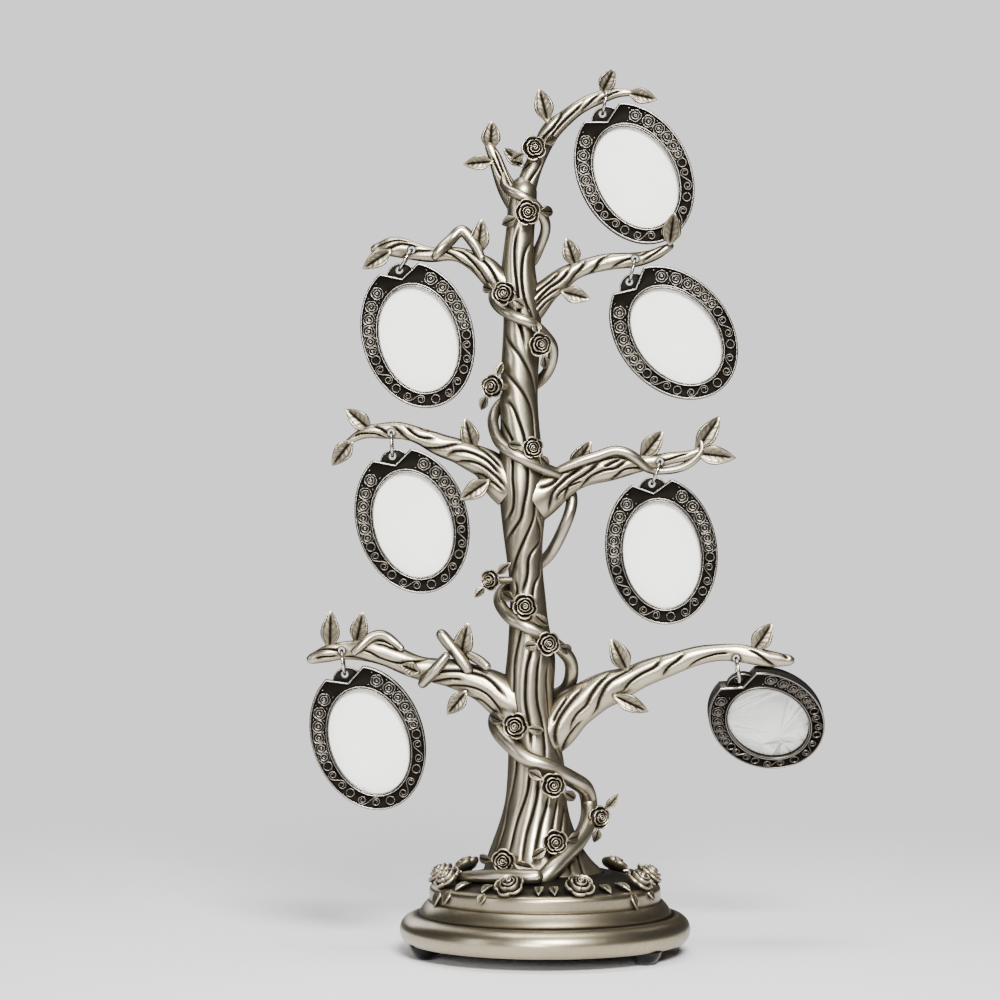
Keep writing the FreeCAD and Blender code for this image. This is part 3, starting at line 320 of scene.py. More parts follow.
TENDRILS_PX = {
    "tendril_left_high": [
        [(434, 261, -9, 6), (437, 255, -11, 8), (444, 247, -8, 10), (453, 238, -2, 10), (462, 231, 0, 10),
         (469, 237, 0, 10), (477, 249, -3, 9), (483, 262, -9, 6)],
    ],
    "tendril_right_mid": [
        [(556, 471, -13, 7), (568, 466, -14, 9), (584, 460, -14, 10), (600, 455, -12, 10),
         (614, 451, -11, 10), (626, 453, -11, 10), (636, 459, -9, 10), (645, 467, -4, 9),
         (653, 470.5, 0, 8), (663, 471, 0, 7.5), (675, 469.5, 0, 8), (687, 465, 0, 8.5), (696, 458, 0, 8.5),
         (702, 448, 0, 7), (700, 439, 0, 4)],
    ],
    "tendril_left_low": [
        [(471, 673, -12, 8.5), (463, 661, -11, 9.8), (452, 647, -8, 10.2), (443, 636, -5, 10),
         (438, 630, -4, 8)],
        [(449, 652, -15, 6.5), (440, 663, -17, 9), (430, 675, -15, 10), (420, 686, -9, 7.5)],
        [(352, 654, -11, 6), (361, 646, -11, 8), (370, 638, -7, 9), (382, 635, -3, 9), (393, 641, -3, 8),
         (404, 650, -8, 5)],
        [(490, 668, -18, 7), (478, 659, -12, 8.5), (466, 653, -7, 7)],
    ],
}

# Leaves on the branches: (foot column, row and depth, tip column, row and depth, width) in pixels.
LEAF_THICKNESS = 1.5
LEAF_SHARES = ((0.0, 0.2), (0.12, 0.42), (0.32, 0.92), (0.52, 1.0), (0.74, 0.7), (0.9, 0.34), (1.0, 0.03))
LEAF_SHARE_LIMITS = (0.02, 1.05)
LEAF_CURL_SHARE = 0.1
LEAF_RIM_SHARE = 0.45
LEAF_EDGE_POWER = 0.7
LEAVES_PX = [
    (601, 94, 0, 614, 69, 0, 17), (548, 124, -4, 539, 89, -4, 19), (627, 93, 0, 657, 100, 0, 16),
    (490, 152, 0, 492, 121, 0, 19), (494, 162, -3, 463, 165, -3, 15), (524, 168, -7, 503, 149, -7, 14),
    (576, 268, -3, 566, 238, -3, 18), (560, 292, -8, 590, 300, -10, 17), (669, 246, -6, 673, 214, -19, 19),
    (477, 257, 0, 482, 219, 0, 20), (392, 251, -8, 363, 270, -12, 17), (372, 431, 0, 346, 409, 0, 18),
    (353, 439, 0, 332, 466, 0, 18), (474, 452, -2, 465, 418, -2, 19), (490, 480, -12, 460, 500, -15, 19),
    (570, 474, -4, 591, 441, -4, 19), (640, 459, 0, 663, 431, 0, 19), (695, 452, 0, 720, 416, 3, 19),
    (694, 453, 0, 736, 458, 2, 19), (330, 651, 0, 331, 610, 0, 19), (356, 645, 0, 363, 612, 0, 18),
    (459, 662, -4, 468, 622, -4, 20), (420, 672, -9, 401, 664, -13, 15), (467, 690, -10, 447, 714, -10, 17),
    (628, 672, -4, 611, 638, -4, 20), (612, 694, -14, 648, 711, -14, 17), (752, 652, 0, 772, 623, 0, 20),
]
LEAF_RIM_PLACE = 0.84
LEAF_RIM_HALF = 0.12
LEAF_RIM_RISE = 0.42
LEAF_HOLLOW = 0.85
LEAF_HOLLOW_POWER = 1.2
# The relief starts this far along the leaf and grows over the fade; its full height needs some width.
LEAF_BLADE_START = 0.04
LEAF_BLADE_WIDTH_GAIN = 1.3
LEAF_FADE = 0.1
LEAF_VEIN_START = 0.06
LEAF_VEIN_END = 0.94
LEAF_VEIN_START_FADE = 0.06
LEAF_VEIN_WIDTH = 0.34
LEAF_VEIN_DEPTH = 0.3
LEAF_SIDE_VEIN_SHARES = (0.3, 0.47, 0.64)
LEAF_SIDE_VEIN_SLOPE = 0.24
LEAF_SIDE_VEIN_WIDTH = 0.2
LEAF_SIDE_VEIN_DEPTH = 0.2
LEAF_SIDE_VEIN_MARGIN = 0.1
LEAF_SIDE_VEIN_FADE = 0.15
LEAF_VEIN_DIRT = 0.95
LEAF_SIDE_VEIN_DIRT = 0.32
LEAF_HOLLOW_DIRT = 0.34
LEAF_BACK_DIRT = 0.18
SMALL_LEAF_DETAIL = 0.62
TONGUE_DETAIL = 0.5

# Roses on the vine: (column, row, diameter) in pixels, each with its two small leaves' tips.
ROSE_DEPTH_SHARE = 0.42
ROSE_STEM_SHARE = 0.34
ROSE_STEM_REACH_SHARE = 2.0
STEM_SEAT_DEPTH = 0.9
STEM_DIRT = 0.3
ROSE_SIDE_DEGREES = 80.0
ROSE_FACING_SHARE = 0.35
# How far each rose is turned on its stem after the one before it, in radians.
VINE_ROSE_TURN = 1.7
BASE_ROSE_TURN = 1.3
RELIEF_ROSE_TURN = 2.1
# Petals, layer by layer from the bud: how many, how far the layer reaches, how deep the dips between
# petals are and how much one petal lies over the next.
ROSE_LAYERS = ((3, 0.4, 0.07, 0.17), (4, 0.66, 0.1, 0.16), (5, 1.0, 0.2, 0.1))
RELIEF_LAYERS = ((3, 0.6, 0.06, 0.16), (5, 1.0, 0.16, 0.08))
# A petal from the layer inside it to its own edge: share of the way out, share of its rise, dirt.
PETAL_ROWS = (
    (0.0, 0.0, 1.0), (0.1, 0.03, 0.85), (0.22, 0.14, 0.42), (0.42, 0.42, 0.2), (0.6, 0.76, 0.08),
    (0.76, 1.0, 0.0), (0.9, 0.98, 0.0), (1.0, 0.6, 0.25),
)
ROSE_BUD_START = 0.02
ROSE_BUD_REACH = 0.22
ROSE_BUD_TURNS = 1.35
ROSE_BUD_GROOVE_HALF = 0.17
ROSE_BUD_GROOVE_DEPTH = 0.22
ROSE_BUD_DIRT = 0.95
ROSE_PETAL_FALL = 0.4
ROSE_PETAL_TILT = 0.1
ROSE_PETAL_SPREAD = 0.08
ROSE_LEAST_GROWTH = 1.04
ROSE_LAYER_FALL = 0.5
ROSE_LAYER_FALL_POWER = 1.8
# The rose's back: share of the outline, share of the depth, dirt.
ROSE_BACK_ROWS = ((0.96, 0.2, 0.4), (0.85, 0.08, 0.45), (ROSE_STEM_SHARE, 0.0, 0.6))
ROSE_SEEDS_PER_RADIAN = 10.0
ROSE_FIRST_SEED = 5
# A rose's diameter is measured where this share of its outline, in percent, is nearer to its middle.
ROSE_OUTLINE_PERCENT = 80
VINE_ROSES_PX = [
    (533, 150, 26, (551, 141), (516, 159)), (527, 215, 27, (507, 224), (547, 213)),
    (505, 295, 25, (488, 289), (521, 306)), (539, 346, 25, (535, 328), (543, 364)),
    (494, 387, 25, (501, 368), (484, 406)), (532, 448, 22, (512, 445), (545, 464)),
    (492, 580, 22, (508, 565), (477, 594)), (525, 605, 26, (507, 595), (543, 621)),
    (547, 642, 25, (528, 644), (566, 649)), (516, 723, 27, (496, 716), (538, 727)),
    (552, 781, 26, (532, 770), (570, 794)), (597, 816, 25, (615, 797), (594, 836)),
    (554, 836, 26, (574, 832), (535, 849)), (504, 854, 24, (485, 854), (528, 860)),
]
ROSE_LEAF_WIDTH_SHARE = 0.42
ROSE_LEAF_FOOT_SHARE = 0.85
ROSE_LEAF_STAND_SHARE = 0.7
ROSE_LEAF_REACH_SHARE = 0.4
BASE_ROSE_DIAMETER = 12.5
BASE_ROSE_TILT = 0.75
BASE_ROSE_LIFT = 1.6
BASE_ROSE_CIRCLE_SHARE = 0.885
BASE_ROSE_DEGREES = (-20, 18, 62, 90, 136, 165, -165, -130, -95, -68)
BASE_LEAF_DEGREES = (-34, -4, 4, 34, 47, 76, 104, 121, 150, 180, -150, -116, -82, -52)
# Leaves that hang over the plate's edge: degrees, how far down, width.
BASE_TONGUES = ((-67.0, 5.5, 6.5), (-57.0, 3.4, 5.0), (-33.0, 1.6, 4.2), (48.0, 4.5, 4.0), (63.0, 2.0, 4.6))
BASE_TONGUE_FOOT = 2.2
BASE_TONGUE_STAND = 1.5
BASE_TONGUE_FACING = 0.6
BASE_LEAF_LENGTH = 8.0
BASE_LEAF_WIDTH = 4.0

# Hangers: eye (column, row), ring's lean, frame's lean and kick of the frame's foot, in degrees.
RING_RADIUS = 4.9
RING_WIRE_RADIUS = 0.65
RING_CUT_DEGREES = 75.0
RING_CUT_HALF = 0.012
RING_CUT_SHARE = 0.9
RING_DIRT = 0.05
RING_CUT_DIRT = 0.7
HANGERS_PX = [
    (607, 91, 11.0, 28.0, 0.0), (411.7, 250, 31.0, 15.8, 0.0), (635, 259, 14.0, 41.0, 0.0),
    (391.3, 432.5, -3.0, 17.0, 0.0), (660, 461.5, 20.0, 8.0, 0.0), (341.7, 650.5, -7.7, 20.0, 0.0),
    (736, 658, -7.0, 30.0, 42.0),
]
WINDOW_HALF_WIDTH = 15.75
WINDOW_HALF_HEIGHT = 22.0
BEZEL_HALF_WIDTH = 23.0
BEZEL_HALF_HEIGHT = 30.5
BEZEL_RISE = 1.6
BEZEL_HALF_THICKNESS = 2.5
NOTCH_HALF_WIDTH = 8.9
NOTCH_FLOOR_Z = 25.8
TAB_RADIUS = 6.2
TAB_CENTRE_Z = 26.0
TAB_HOLE_Z = 29.3
TAB_HOLE_RADIUS = 1.4
TAB_HALF_THICKNESS = 1.1
TAB_FOOT_Z = 23.7

# Bezel's closed section: (edge it is measured from, distance from that edge, depth behind the front, dirt).
BEZEL_SECTION = (
    ("window", 1.5, 5.0, 0.5), ("window", 1.5, 1.9, 0.9), ("window", 0.0, 1.9, 0.9),
    ("window", 0.0, 0.5, 0.45), ("window", 0.06, 0.2, 0.2), ("window", 0.2, 0.02, 0.0),
    ("window", 0.38, 0.06, 0.0), ("window", 0.52, 0.3, 0.55), ("window", 0.62, 0.42, 0.85),
    ("window", 0.72, 0.3, 0.55), ("window", 0.85, 0.06, 0.0), ("window", 1.05, 0.0, 0.0),
    ("window", 1.22, 0.08, 0.1), ("window", 1.34, 0.36, 0.5), ("window", 1.44, 1.0, 0.95),
    ("window", 1.56, 1.25, 1.0),
    ("rim", 1.1, 1.25, 1.0), ("rim", 1.0, 1.0, 0.95), ("rim", 0.92, 0.4, 0.5), ("rim", 0.8, 0.1, 0.05),
    ("rim", 0.62, 0.0, 0.0), ("rim", 0.38, 0.06, 0.0), ("rim", 0.18, 0.22, 0.0), ("rim", 0.04, 0.55, 0.1),
    ("rim", 0.0, 1.0, 0.3), ("rim", 0.0, 2.4, 0.42), ("rim", 0.0, 4.4, 0.42), ("rim", 0.35, 4.9, 0.3),
    ("rim", 0.8, 5.0, 0.25),
)
CHANNEL_INNER_MARGIN = 1.56
CHANNEL_OUTER_MARGIN = 1.05
CHANNEL_FLOOR_DEPTH = 1.25
CHANNEL_STEP_DEGREES = 0.5
# Tab's closed section: (edge, distance from it, back 1 or front -1, depth below that face, dirt).
TAB_SECTION = (
    ("hole", 0.0, 1, 0.2, 0.8), ("hole", 0.12, 1, 0.0, 0.6), ("rim", 0.3, 1, 0.0, 0.2),
    ("rim", 0.0, 1, 0.3, 0.1), ("rim", 0.0, -1, 0.25, 0.1), ("rim", 0.2, -1, 0.02, 0.0),
    ("rim", 0.42, -1, 0.0, 0.05), ("rim", 0.62, -1, 0.1, 0.3), ("rim", 0.8, -1, 0.35, 0.85),
    ("hole", 0.5, -1, 0.35, 0.8), ("hole", 0.3, -1, 0.1, 0.4), ("hole", 0.1, -1, 0.0, 0.25),
    ("hole", 0.0, -1, 0.15, 0.8),
)
RELIEF_RISE = 1.05
RELIEF_ROSE_DEGREES = (63.0, 49.5, 36.5, 24.0, 12.0, 0.5)
RELIEF_ROSE_HALF = 2.75
RELIEF_ROSE_FILL = 1.16
RELIEF_ROSE_DIRT = 0.12
RELIEF_RING_DEGREES = (-11.0, -50.0, -90.0, -130.0, -169.0)
RELIEF_RING_RADIUS = 1.95
RELIEF_RING_FILL = 0.8
RELIEF_WIRE_RADIUS = 0.33
RELIEF_WIRE_DEPTH_SHARE = 2.0
RELIEF_WIRE_DIRT = 0.2
RELIEF_WIRE_LIFT = 0.5
# Small leaves between the relief's roses: degrees from a rose, share of the channel, slant, half sizes,
# and rows of (share of the outline, share of the rise, dirt).
RELIEF_LEAF_STEP = 6.2
RELIEF_LEAF_SHARE = 0.78
RELIEF_LEAF_SLANT = 0.5
RELIEF_LEAF_HALVES = (0.75, 0.36)
RELIEF_LEAF_RISE = 1.6
RELIEF_LEAF_ROWS = ((1.0, 0.0, 0.9), (0.8, 0.75, 0.45), (0.35, 1.1, 0.15))
# A scroll of the relief: an S whose two ends wind into spirals.
SCROLL_OFFSET = (2.75, 0.2)
SCROLL_REACHES = (0.6, 1.75)
SCROLL_DEGREES = 500.0
SCROLL_SPACING = 0.3
SCROLL_LIMIT = 0.86

# How finely the pieces are divided: points round them, points along them, or millimetres between points.
TRUNK_ROUND, TRUNK_ALONG = 216, 430
THICK_BRANCH_ROUND, THIN_BRANCH_ROUND, BRANCH_SPACING = 112, 84, 0.36
VINE_ROUND, VINE_SPACING = 32, 0.75
TENDRIL_ROUND, TENDRIL_SPACING = 28, 0.5
STEM_ROUND, STEM_ALONG, STEM_LEAST_ALONG = 24, 48, 3
BASE_ROUND, BASE_SPACING = 288, 0.7
BASE_RIM_ALONG, BASE_STEP_ALONG, BASE_EDGE_ALONG = 30, 16, 12
FOOT_ROUND, FOOT_ALONG = 56, 34
LEAF_ALONG, SMALL_LEAF_ALONG = 46, 26
ROSE_ROUND, RELIEF_ROSE_ROUND, ROSE_BUD_ALONG = 90, 40, 9
BEZEL_ROUND, BEZEL_SEARCH_ROUND, TAB_ROUND = 200, 2880, 72
# Points of the frame's outline are kept this far from a corner, and two are added this near, in radians.
CORNER_CLEAR, CORNER_NEAR = 0.02, 0.012
RELIEF_WIRE_ROUND, RELIEF_RING_ALONG, SCROLL_ALONG, RELIEF_LEAF_ROUND = 8, 25, 34, 10
RING_ROUND, RING_ALONG = 20, 96
LEAST_PATH_POINTS = 6


def across(column):
    return (column - TREE_AXIS_PX) * MM_PER_PIXEL


def up(row):
    return (FLOOR_PY - row) * MM_PER_PIXEL


def point(column, row, depth=0.0):
    return np.array((across(column), depth * MM_PER_PIXEL, up(row)))


def half_mm(width):
    # Half of a width that is in pixels.
    return width * MM_PER_PIXEL / 2.0


def full_turn(count, start=0.0):
    return np.linspace(start, start + 2.0 * math.pi, count, endpoint=False)


def ease(into, width):
    # From 0 to 1 over a width.
    return np.clip(into / width, 0.0, 1.0)


def bell(away, width):
    return np.exp(-((away / width) ** 2))


def unit(vector):
    vector = np.asarray(vector, float)
    return vector / np.linalg.norm(vector, axis=-1, keepdims=True)


def natural_curve(knots, values, places):
    # Natural cubic through values at knots, read at the places.
    knots = np.asarray(knots, float)
    values = np.asarray(values, float)
    if values.ndim == 1:
        return natural_curve(knots, values[:, None], places)[:, 0]
    count = len(knots)
    gaps = np.diff(knots)
    system = np.eye(count)
    right = np.zeros_like(values)
    for index in range(1, count - 1):
        system[index, index - 1] = gaps[index - 1]
        system[index, index] = 2.0 * (gaps[index - 1] + gaps[index])
        system[index, index + 1] = gaps[index]
        rise_after = (values[index + 1] - values[index]) / gaps[index]
        rise_before = (values[index] - values[index - 1]) / gaps[index - 1]
        right[index] = 6.0 * (rise_after - rise_before)
    bends = np.linalg.solve(system, right)
    places = np.asarray(places, float)
    slot = np.clip(np.searchsorted(knots, places) - 1, 0, count - 2)
    gap = gaps[slot][:, None]
    left = (knots[slot + 1] - places)[:, None]
    near = (places - knots[slot])[:, None]
    return (
        bends[slot] * left ** 3 / (6.0 * gap) + bends[slot + 1] * near ** 3 / (6.0 * gap)
        + (values[slot] / gap - bends[slot] * gap / 6.0) * left
        + (values[slot + 1] / gap - bends[slot + 1] * gap / 6.0) * near
    )


def along(points):
    # Distance travelled at each point of a path.
    steps = np.linalg.norm(np.diff(points, axis=0), axis=1)
    return np.concatenate(([0.0], np.cumsum(steps)))


def smooth_path(points, spacing, extras=()):
    # A smooth path through points, at about this spacing, with further columns carried along.
    points = np.asarray(points, float)
    knots = along(points)
    count = max(int(knots[-1] / spacing), LEAST_PATH_POINTS)
    places = np.linspace(0.0, knots[-1], count)
    path = natural_curve(knots, points, places)
    return path, [natural_curve(knots, np.asarray(extra, float), places) for extra in extras]


def path_directions(path):
    return unit(np.gradient(path, axis=0))


def ring_quads(index, round_rows=False):
    # The quads between neighbouring rings of a grid of point numbers.
    below = index if round_rows else index[:-1]
    above = np.roll(index, -1, axis=0) if round_rows else index[1:]
    corners = (below, np.roll(below, -1, 1), np.roll(above, -1, 1), above)
    return np.stack(corners, axis=-1).reshape(-1, 4)


def fan(hub, ring, turn):
    # The triangles that join a ring to a point in its middle.
    pair = (np.roll(ring, -1), ring) if turn > 0 else (ring, np.roll(ring, -1))
    return np.stack((np.full(len(ring), hub), *pair), axis=-1)


class Shell:
    # Gathers the grids of one piece, with how dark each of its points is made, by dirt and in places by
    # painted shade.
    def __init__(self):
        self.points = []
        self.quads = []
        self.triangles = []
        self.dirt_and_shade = []
        self.count = 0

    def add(self, points, quads, triangles, dirt_and_shade):
        # Faces of a part that would be inside out are turned round.
        faces = np.concatenate((quads[:, (0, 1, 2)], quads[:, (0, 2, 3)], triangles))
        corner = points[faces] - points.mean(axis=0)
        volume = np.einsum("ij,ij->i", corner[:, 0], np.cross(corner[:, 1], corner[:, 2])).sum()
        if volume < 0.0:
            quads = quads[:, ::-1]
            triangles = triangles[:, ::-1]
        self.points.append(points)
        self.quads.append(quads + self.count)
        self.triangles.append(triangles + self.count)
        self.dirt_and_shade.append(dirt_and_shade)
        self.count += len(points)

    def add_grid(self, points, dirt_and_shade=0.0, round_rows=False, caps=(True, True)):
        # Each row is a closed ring. The first and last rows are capped, or joined where the rows go round.
        index = np.arange(points[..., 0].size).reshape(points.shape[:2])
        flat = points.reshape(-1, 3)
        dirt_and_shade = np.broadcast_to(np.asarray(dirt_and_shade, float), index.shape).reshape(-1)
        triangles = [np.zeros((0, 3), int)]
        for wanted, ring, turn in ((caps[0], index[0], 1), (caps[1], index[-1], -1)):
            if wanted and not round_rows:
                triangles.append(fan(len(flat), ring, turn))
                flat = np.vstack((flat, flat[ring].mean(axis=0)))
                dirt_and_shade = np.append(dirt_and_shade, dirt_and_shade[ring].mean())
        self.add(flat, ring_quads(index, round_rows), np.concatenate(triangles), dirt_and_shade)

    def object(self, name, body, material, slot, replaced):
        points = np.concatenate(self.points) * METRES
        quads = np.concatenate(self.quads)
        triangles = np.concatenate(self.triangles)
        mesh = bpy.data.meshes.new(name)
        mesh.vertices.add(len(points))
        mesh.vertices.foreach_set("co", points.ravel())
        mesh.loops.add(quads.size + triangles.size)
        mesh.loops.foreach_set("vertex_index", np.concatenate((quads.ravel(), triangles.ravel())))
        quad_starts = np.arange(len(quads)) * 4
        triangle_starts = quads.size + np.arange(len(triangles)) * 3
        mesh.polygons.add(len(quads) + len(triangles))
        mesh.polygons.foreach_set("loop_start", np.concatenate((quad_starts, triangle_starts)))
        mesh.update(calc_edges=True)
        mesh.validate()
        mesh.polygons.foreach_set("use_smooth", np.ones(len(mesh.polygons), bool))
        layer = mesh.attributes.new("dirt_and_shade", "FLOAT", "POINT")
        layer.data.foreach_set("value", np.clip(np.concatenate(self.dirt_and_shade), 0.0, 1.0).astype(np.float32))
        mesh.materials.append(material)
        piece = bpy.data.objects.new(name, mesh)
        bpy.context.scene.collection.objects.link(piece)
        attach(piece, body)
        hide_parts(*replaced)


def swept(path, sides, fronts, half_sides, half_fronts, around):
    # Rings of points round a path, one oval for each place on it.
    turns = full_turn(around)
    ring_side = np.cos(turns)[None, :, None] * (sides * half_sides[:, None])[:, None, :]
    ring_front = np.sin(turns)[None, :, None] * (fronts * half_fronts[:, None])[:, None, :]
    return path[:, None, :] + ring_side + ring_front


def carried_sides(directions, first_side):
    side = np.asarray(first_side, float)
    result = []
    for direction in directions:
        side = unit(side - direction * side.dot(direction))
        result.append(side)
    return np.array(result)


def add_tube(shell, points, radii, first_side, spacing, around):
    # A smooth rod through points, with round ends.
    path, (radius,) = smooth_path(points, spacing, [radii])
    radius = np.maximum(radius, TUBE_LEAST_RADIUS)
    places = along(path)
    for end in (places, places[-1] - places):
        round_off = np.clip(1.0 - end / radius, 0.0, TUBE_END_LIMIT)
        radius = radius * np.sqrt(1.0 - round_off ** 2)
    directions = path_directions(path)
    sides = carried_sides(directions, first_side)
    shell.add_grid(swept(path, sides, np.cross(directions, sides), radius, radius, around))
    return path, radius


def wrapped(turn):
    return (turn + math.pi) % (2.0 * math.pi) - math.pi


def carved(rows_s, turns, half, lines):
    # How far each point is into a fine line and into the soft hollow beside it, from 0 to 1.
    fine = np.zeros((len(rows_s), len(turns)))
    soft = np.zeros_like(fine)
    reach = BAND_REACH * BAND_HALF_WIDTH
    for line_s, line_turn, strength in lines:
        for place, turn, share in zip(line_s, line_turn, strength):
            low, high = np.searchsorted(rows_s, (place - reach, place + reach))
            if low >= high:
                continue
            away_s = (rows_s[low:high, None] - place) ** 2
            away_turn = (half[low:high, None] * wrapped(turns[None, :] - turn)) ** 2
            away = away_s + away_turn
            near = share * np.exp(-away / LINE_HALF_WIDTH ** 2)
            wide = share * np.exp(-away / BAND_HALF_WIDTH ** 2)
            np.maximum(fine[low:high], near, out=fine[low:high])
            np.maximum(soft[low:high], wide, out=soft[low:high])
    return fine, soft


def line_strength(count):
    # A carved line fades at both ends.
    share = np.linspace(0.0, 1.0, count)
    return np.clip(np.minimum(share, 1.0 - share) * LINE_FADE, LINE_END_STRENGTH, 1.0)


# Trunk.
TRUNK_ROWS = [(BASE_SEAT_Z, TRUNK_FOOT_PX[0], TRUNK_FOOT_PX[1])]
TRUNK_ROWS += [(up(row), left, right) for row, left, right in TRUNK_OUTLINE_PX]
TRUNK_Z = np.array([row[0] for row in TRUNK_ROWS])
TRUNK_CENTRES = np.array([(across(row[1]) + across(row[2])) / 2.0 for row in TRUNK_ROWS])
TRUNK_HALVES = np.array([(across(row[2]) - across(row[1])) / 2.0 for row in TRUNK_ROWS])


def trunk_centre(z):
    return np.interp(z, TRUNK_Z, TRUNK_CENTRES)


def trunk_half(z):
    return np.interp(z, TRUNK_Z, TRUNK_HALVES)


def trunk_reach(z, degrees):
    half = trunk_half(z)
    wide = half * np.sin(np.radians(degrees))
    deep = half * TRUNK_DEPTH_SHARE * np.cos(np.radians(degrees))
    return np.hypot(wide, deep)


def round_trunk(z, degrees, reach):
    turn = math.radians(degrees)
    return np.array((trunk_centre(z) + reach * math.sin(turn), -reach * math.cos(turn), z))


def bark_place(column, row, stand_off):
    z = up(row)
    offset = across(column) - trunk_centre(z)
    reach = trunk_half(z) * TRUNK_DEPTH_SHARE + stand_off
    limit = math.sin(math.radians(ROSE_SIDE_DEGREES))
    reach = max(reach, abs(offset) / limit)
    degrees = math.degrees(math.asin(max(-limit, min(limit, offset / reach))))
    turn = math.radians(degrees)
    return round_trunk(z, degrees, reach), np.array((math.sin(turn), -math.cos(turn), 0.0))


def make_trunk(material):
    rows = np.linspace(TRUNK_Z[0], TRUNK_Z[-1], TRUNK_ALONG)
    centre = natural_curve(TRUNK_Z, TRUNK_CENTRES, rows)
    half = natural_curve(TRUNK_Z, TRUNK_HALVES, rows)
    into_top = np.clip((rows - rows[-1]) / TRUNK_TOP_ROUND + 1.0, 0.0, 1.0)
    half = half * np.sqrt(1.0 - TRUNK_TOP_CLOSING * into_top ** 2)
    turns = full_turn(TRUNK_ROUND, -math.pi)
    lines = []
    for table in TRUNK_LINES_PX:
        path = smooth_path([(across(column), up(row)) for column, row in table], LINE_STEP)[0]
        ratio = (path[:, 0] - np.interp(path[:, 1], rows, centre)) / np.interp(path[:, 1], rows, half)
        turn = np.arcsin(np.clip(ratio, -LINE_SIDE_LIMIT, LINE_SIDE_LIMIT))
        order = np.argsort(path[:, 1])
        strength = line_strength(len(path))
        lines.append((path[order, 1], turn[order], strength))
        back_z = path[order, 1] + TRUNK_LINE_BACK_ROWS * MM_PER_PIXEL
        lines.append((back_z, math.pi - turn[order], strength))
    fine, soft = carved(rows, turns, half, lines)
    sink = LINE_DEPTH * fine + BAND_DEPTH * soft
    x = centre[:, None] + (half[:, None] - sink) * np.sin(turns)[None, :]
    y = -(half[:, None] * TRUNK_DEPTH_SHARE - sink) * np.cos(turns)[None, :]
    z = np.broadcast_to(rows[:, None], x.shape)
    shell = Shell()
    shell.add_grid(np.stack((x, y, z), axis=-1), fine + BAND_DIRT * soft)
    shell.object("trunk_bark", "tree", material, "bark_pewter", ["trunk"])


def branch_line(table, path, sides, half):
    # Where a line of the picture runs on a branch: distance along it and angle round it.
    picture = smooth_path([(across(column), up(row)) for column, row in table], LINE_STEP)[0]
    flat = path[:, (0, 2)]
    away = np.linalg.norm(picture[:, None, :] - flat[None, :, :], axis=2)
    nearest = away.argmin(axis=1)
    offset = ((picture - flat[nearest]) * sides[nearest][:, (0, 2)]).sum(axis=1)
    ratio = np.clip(offset / half[nearest], -LINE_SIDE_LIMIT, LINE_SIDE_LIMIT)
    return along(path)[nearest], -np.arccos(ratio)


def make_branch(name, rows, material):
    centres = [point(column, row) for column, row, width in rows]
    halves = [half_mm(width) for column, row, width in rows]
    eyes = []
    for hanger in HANGERS_PX:
        place = point(hanger[0], hanger[1])
        if min(np.linalg.norm(place - centre) for centre in centres) < halves[0]:
            eyes.append(place)
    tip, tip_half = centres[-1], halves[-1]
    tip_direction = unit(tip - centres[-2])
    for reach_share, half_share in BRANCH_TIP_SHARES:
        centres.append(tip + tip_direction * (2.0 * tip_half * reach_share))
        halves.append(tip_half * half_share)
    deeps = []
    for centre, half in zip(centres, halves):
        deep = half * BRANCH_DEPTH_SHARE
        for place in eyes:
            away = max(np.linalg.norm(place - centre) - EYE_RADIUS, 0.0)
            deep = min(deep, EYE_THICKNESS / 2.0 + EYE_FLARE_SHARE * away)
        deeps.append(deep)
    path, reaches = smooth_path(centres, BRANCH_SPACING, [halves, deeps])
    half, deep = (np.maximum(reach, BRANCH_LEAST_HALF) for reach in reaches)
    front = np.array((0.0, 1.0, 0.0))
    directions = path_directions(path)
    sides = unit(np.cross(front, directions))
    fronts = np.broadcast_to(front, sides.shape)
    around = THICK_BRANCH_ROUND if halves[0] > THICK_BRANCH_HALF else THIN_BRANCH_ROUND
    turns = full_turn(around, -math.pi)
    places = along(path)
    lines = []
    for table in BRANCH_LINES_PX[name]:
        line_s, line_turn = branch_line(table, path, sides, half)
        strength = line_strength(len(line_s))
        lines.append((line_s, line_turn, strength))
        lines.append((line_s + BRANCH_LINE_BACK_SHARE * places[-1], -line_turn, strength))
    fine, soft = carved(places, turns, half, lines)
    scale = np.clip(half / FULL_CARVING_HALF, LEAST_CARVING, 1.0)[:, None]
    sink = (LINE_DEPTH * fine + BAND_DEPTH * soft) * scale
    side_reach = half[:, None] - sink
    front_reach = deep[:, None] - sink
    rings = path[:, None, :] + sides[:, None, :] * (side_reach * np.cos(turns))[:, :, None]
    rings = rings + fronts[:, None, :] * (front_reach * np.sin(turns))[:, :, None]
    dirt_and_shade = fine + BAND_DIRT * soft
    shell = Shell()
    if eyes:
        add_pierced(shell, rings, dirt_and_shade, eyes)
    else:
        shell.add_grid(rings, dirt_and_shade)
    shell.object(name + "_bark", "tree", material, "bark_pewter", [name])


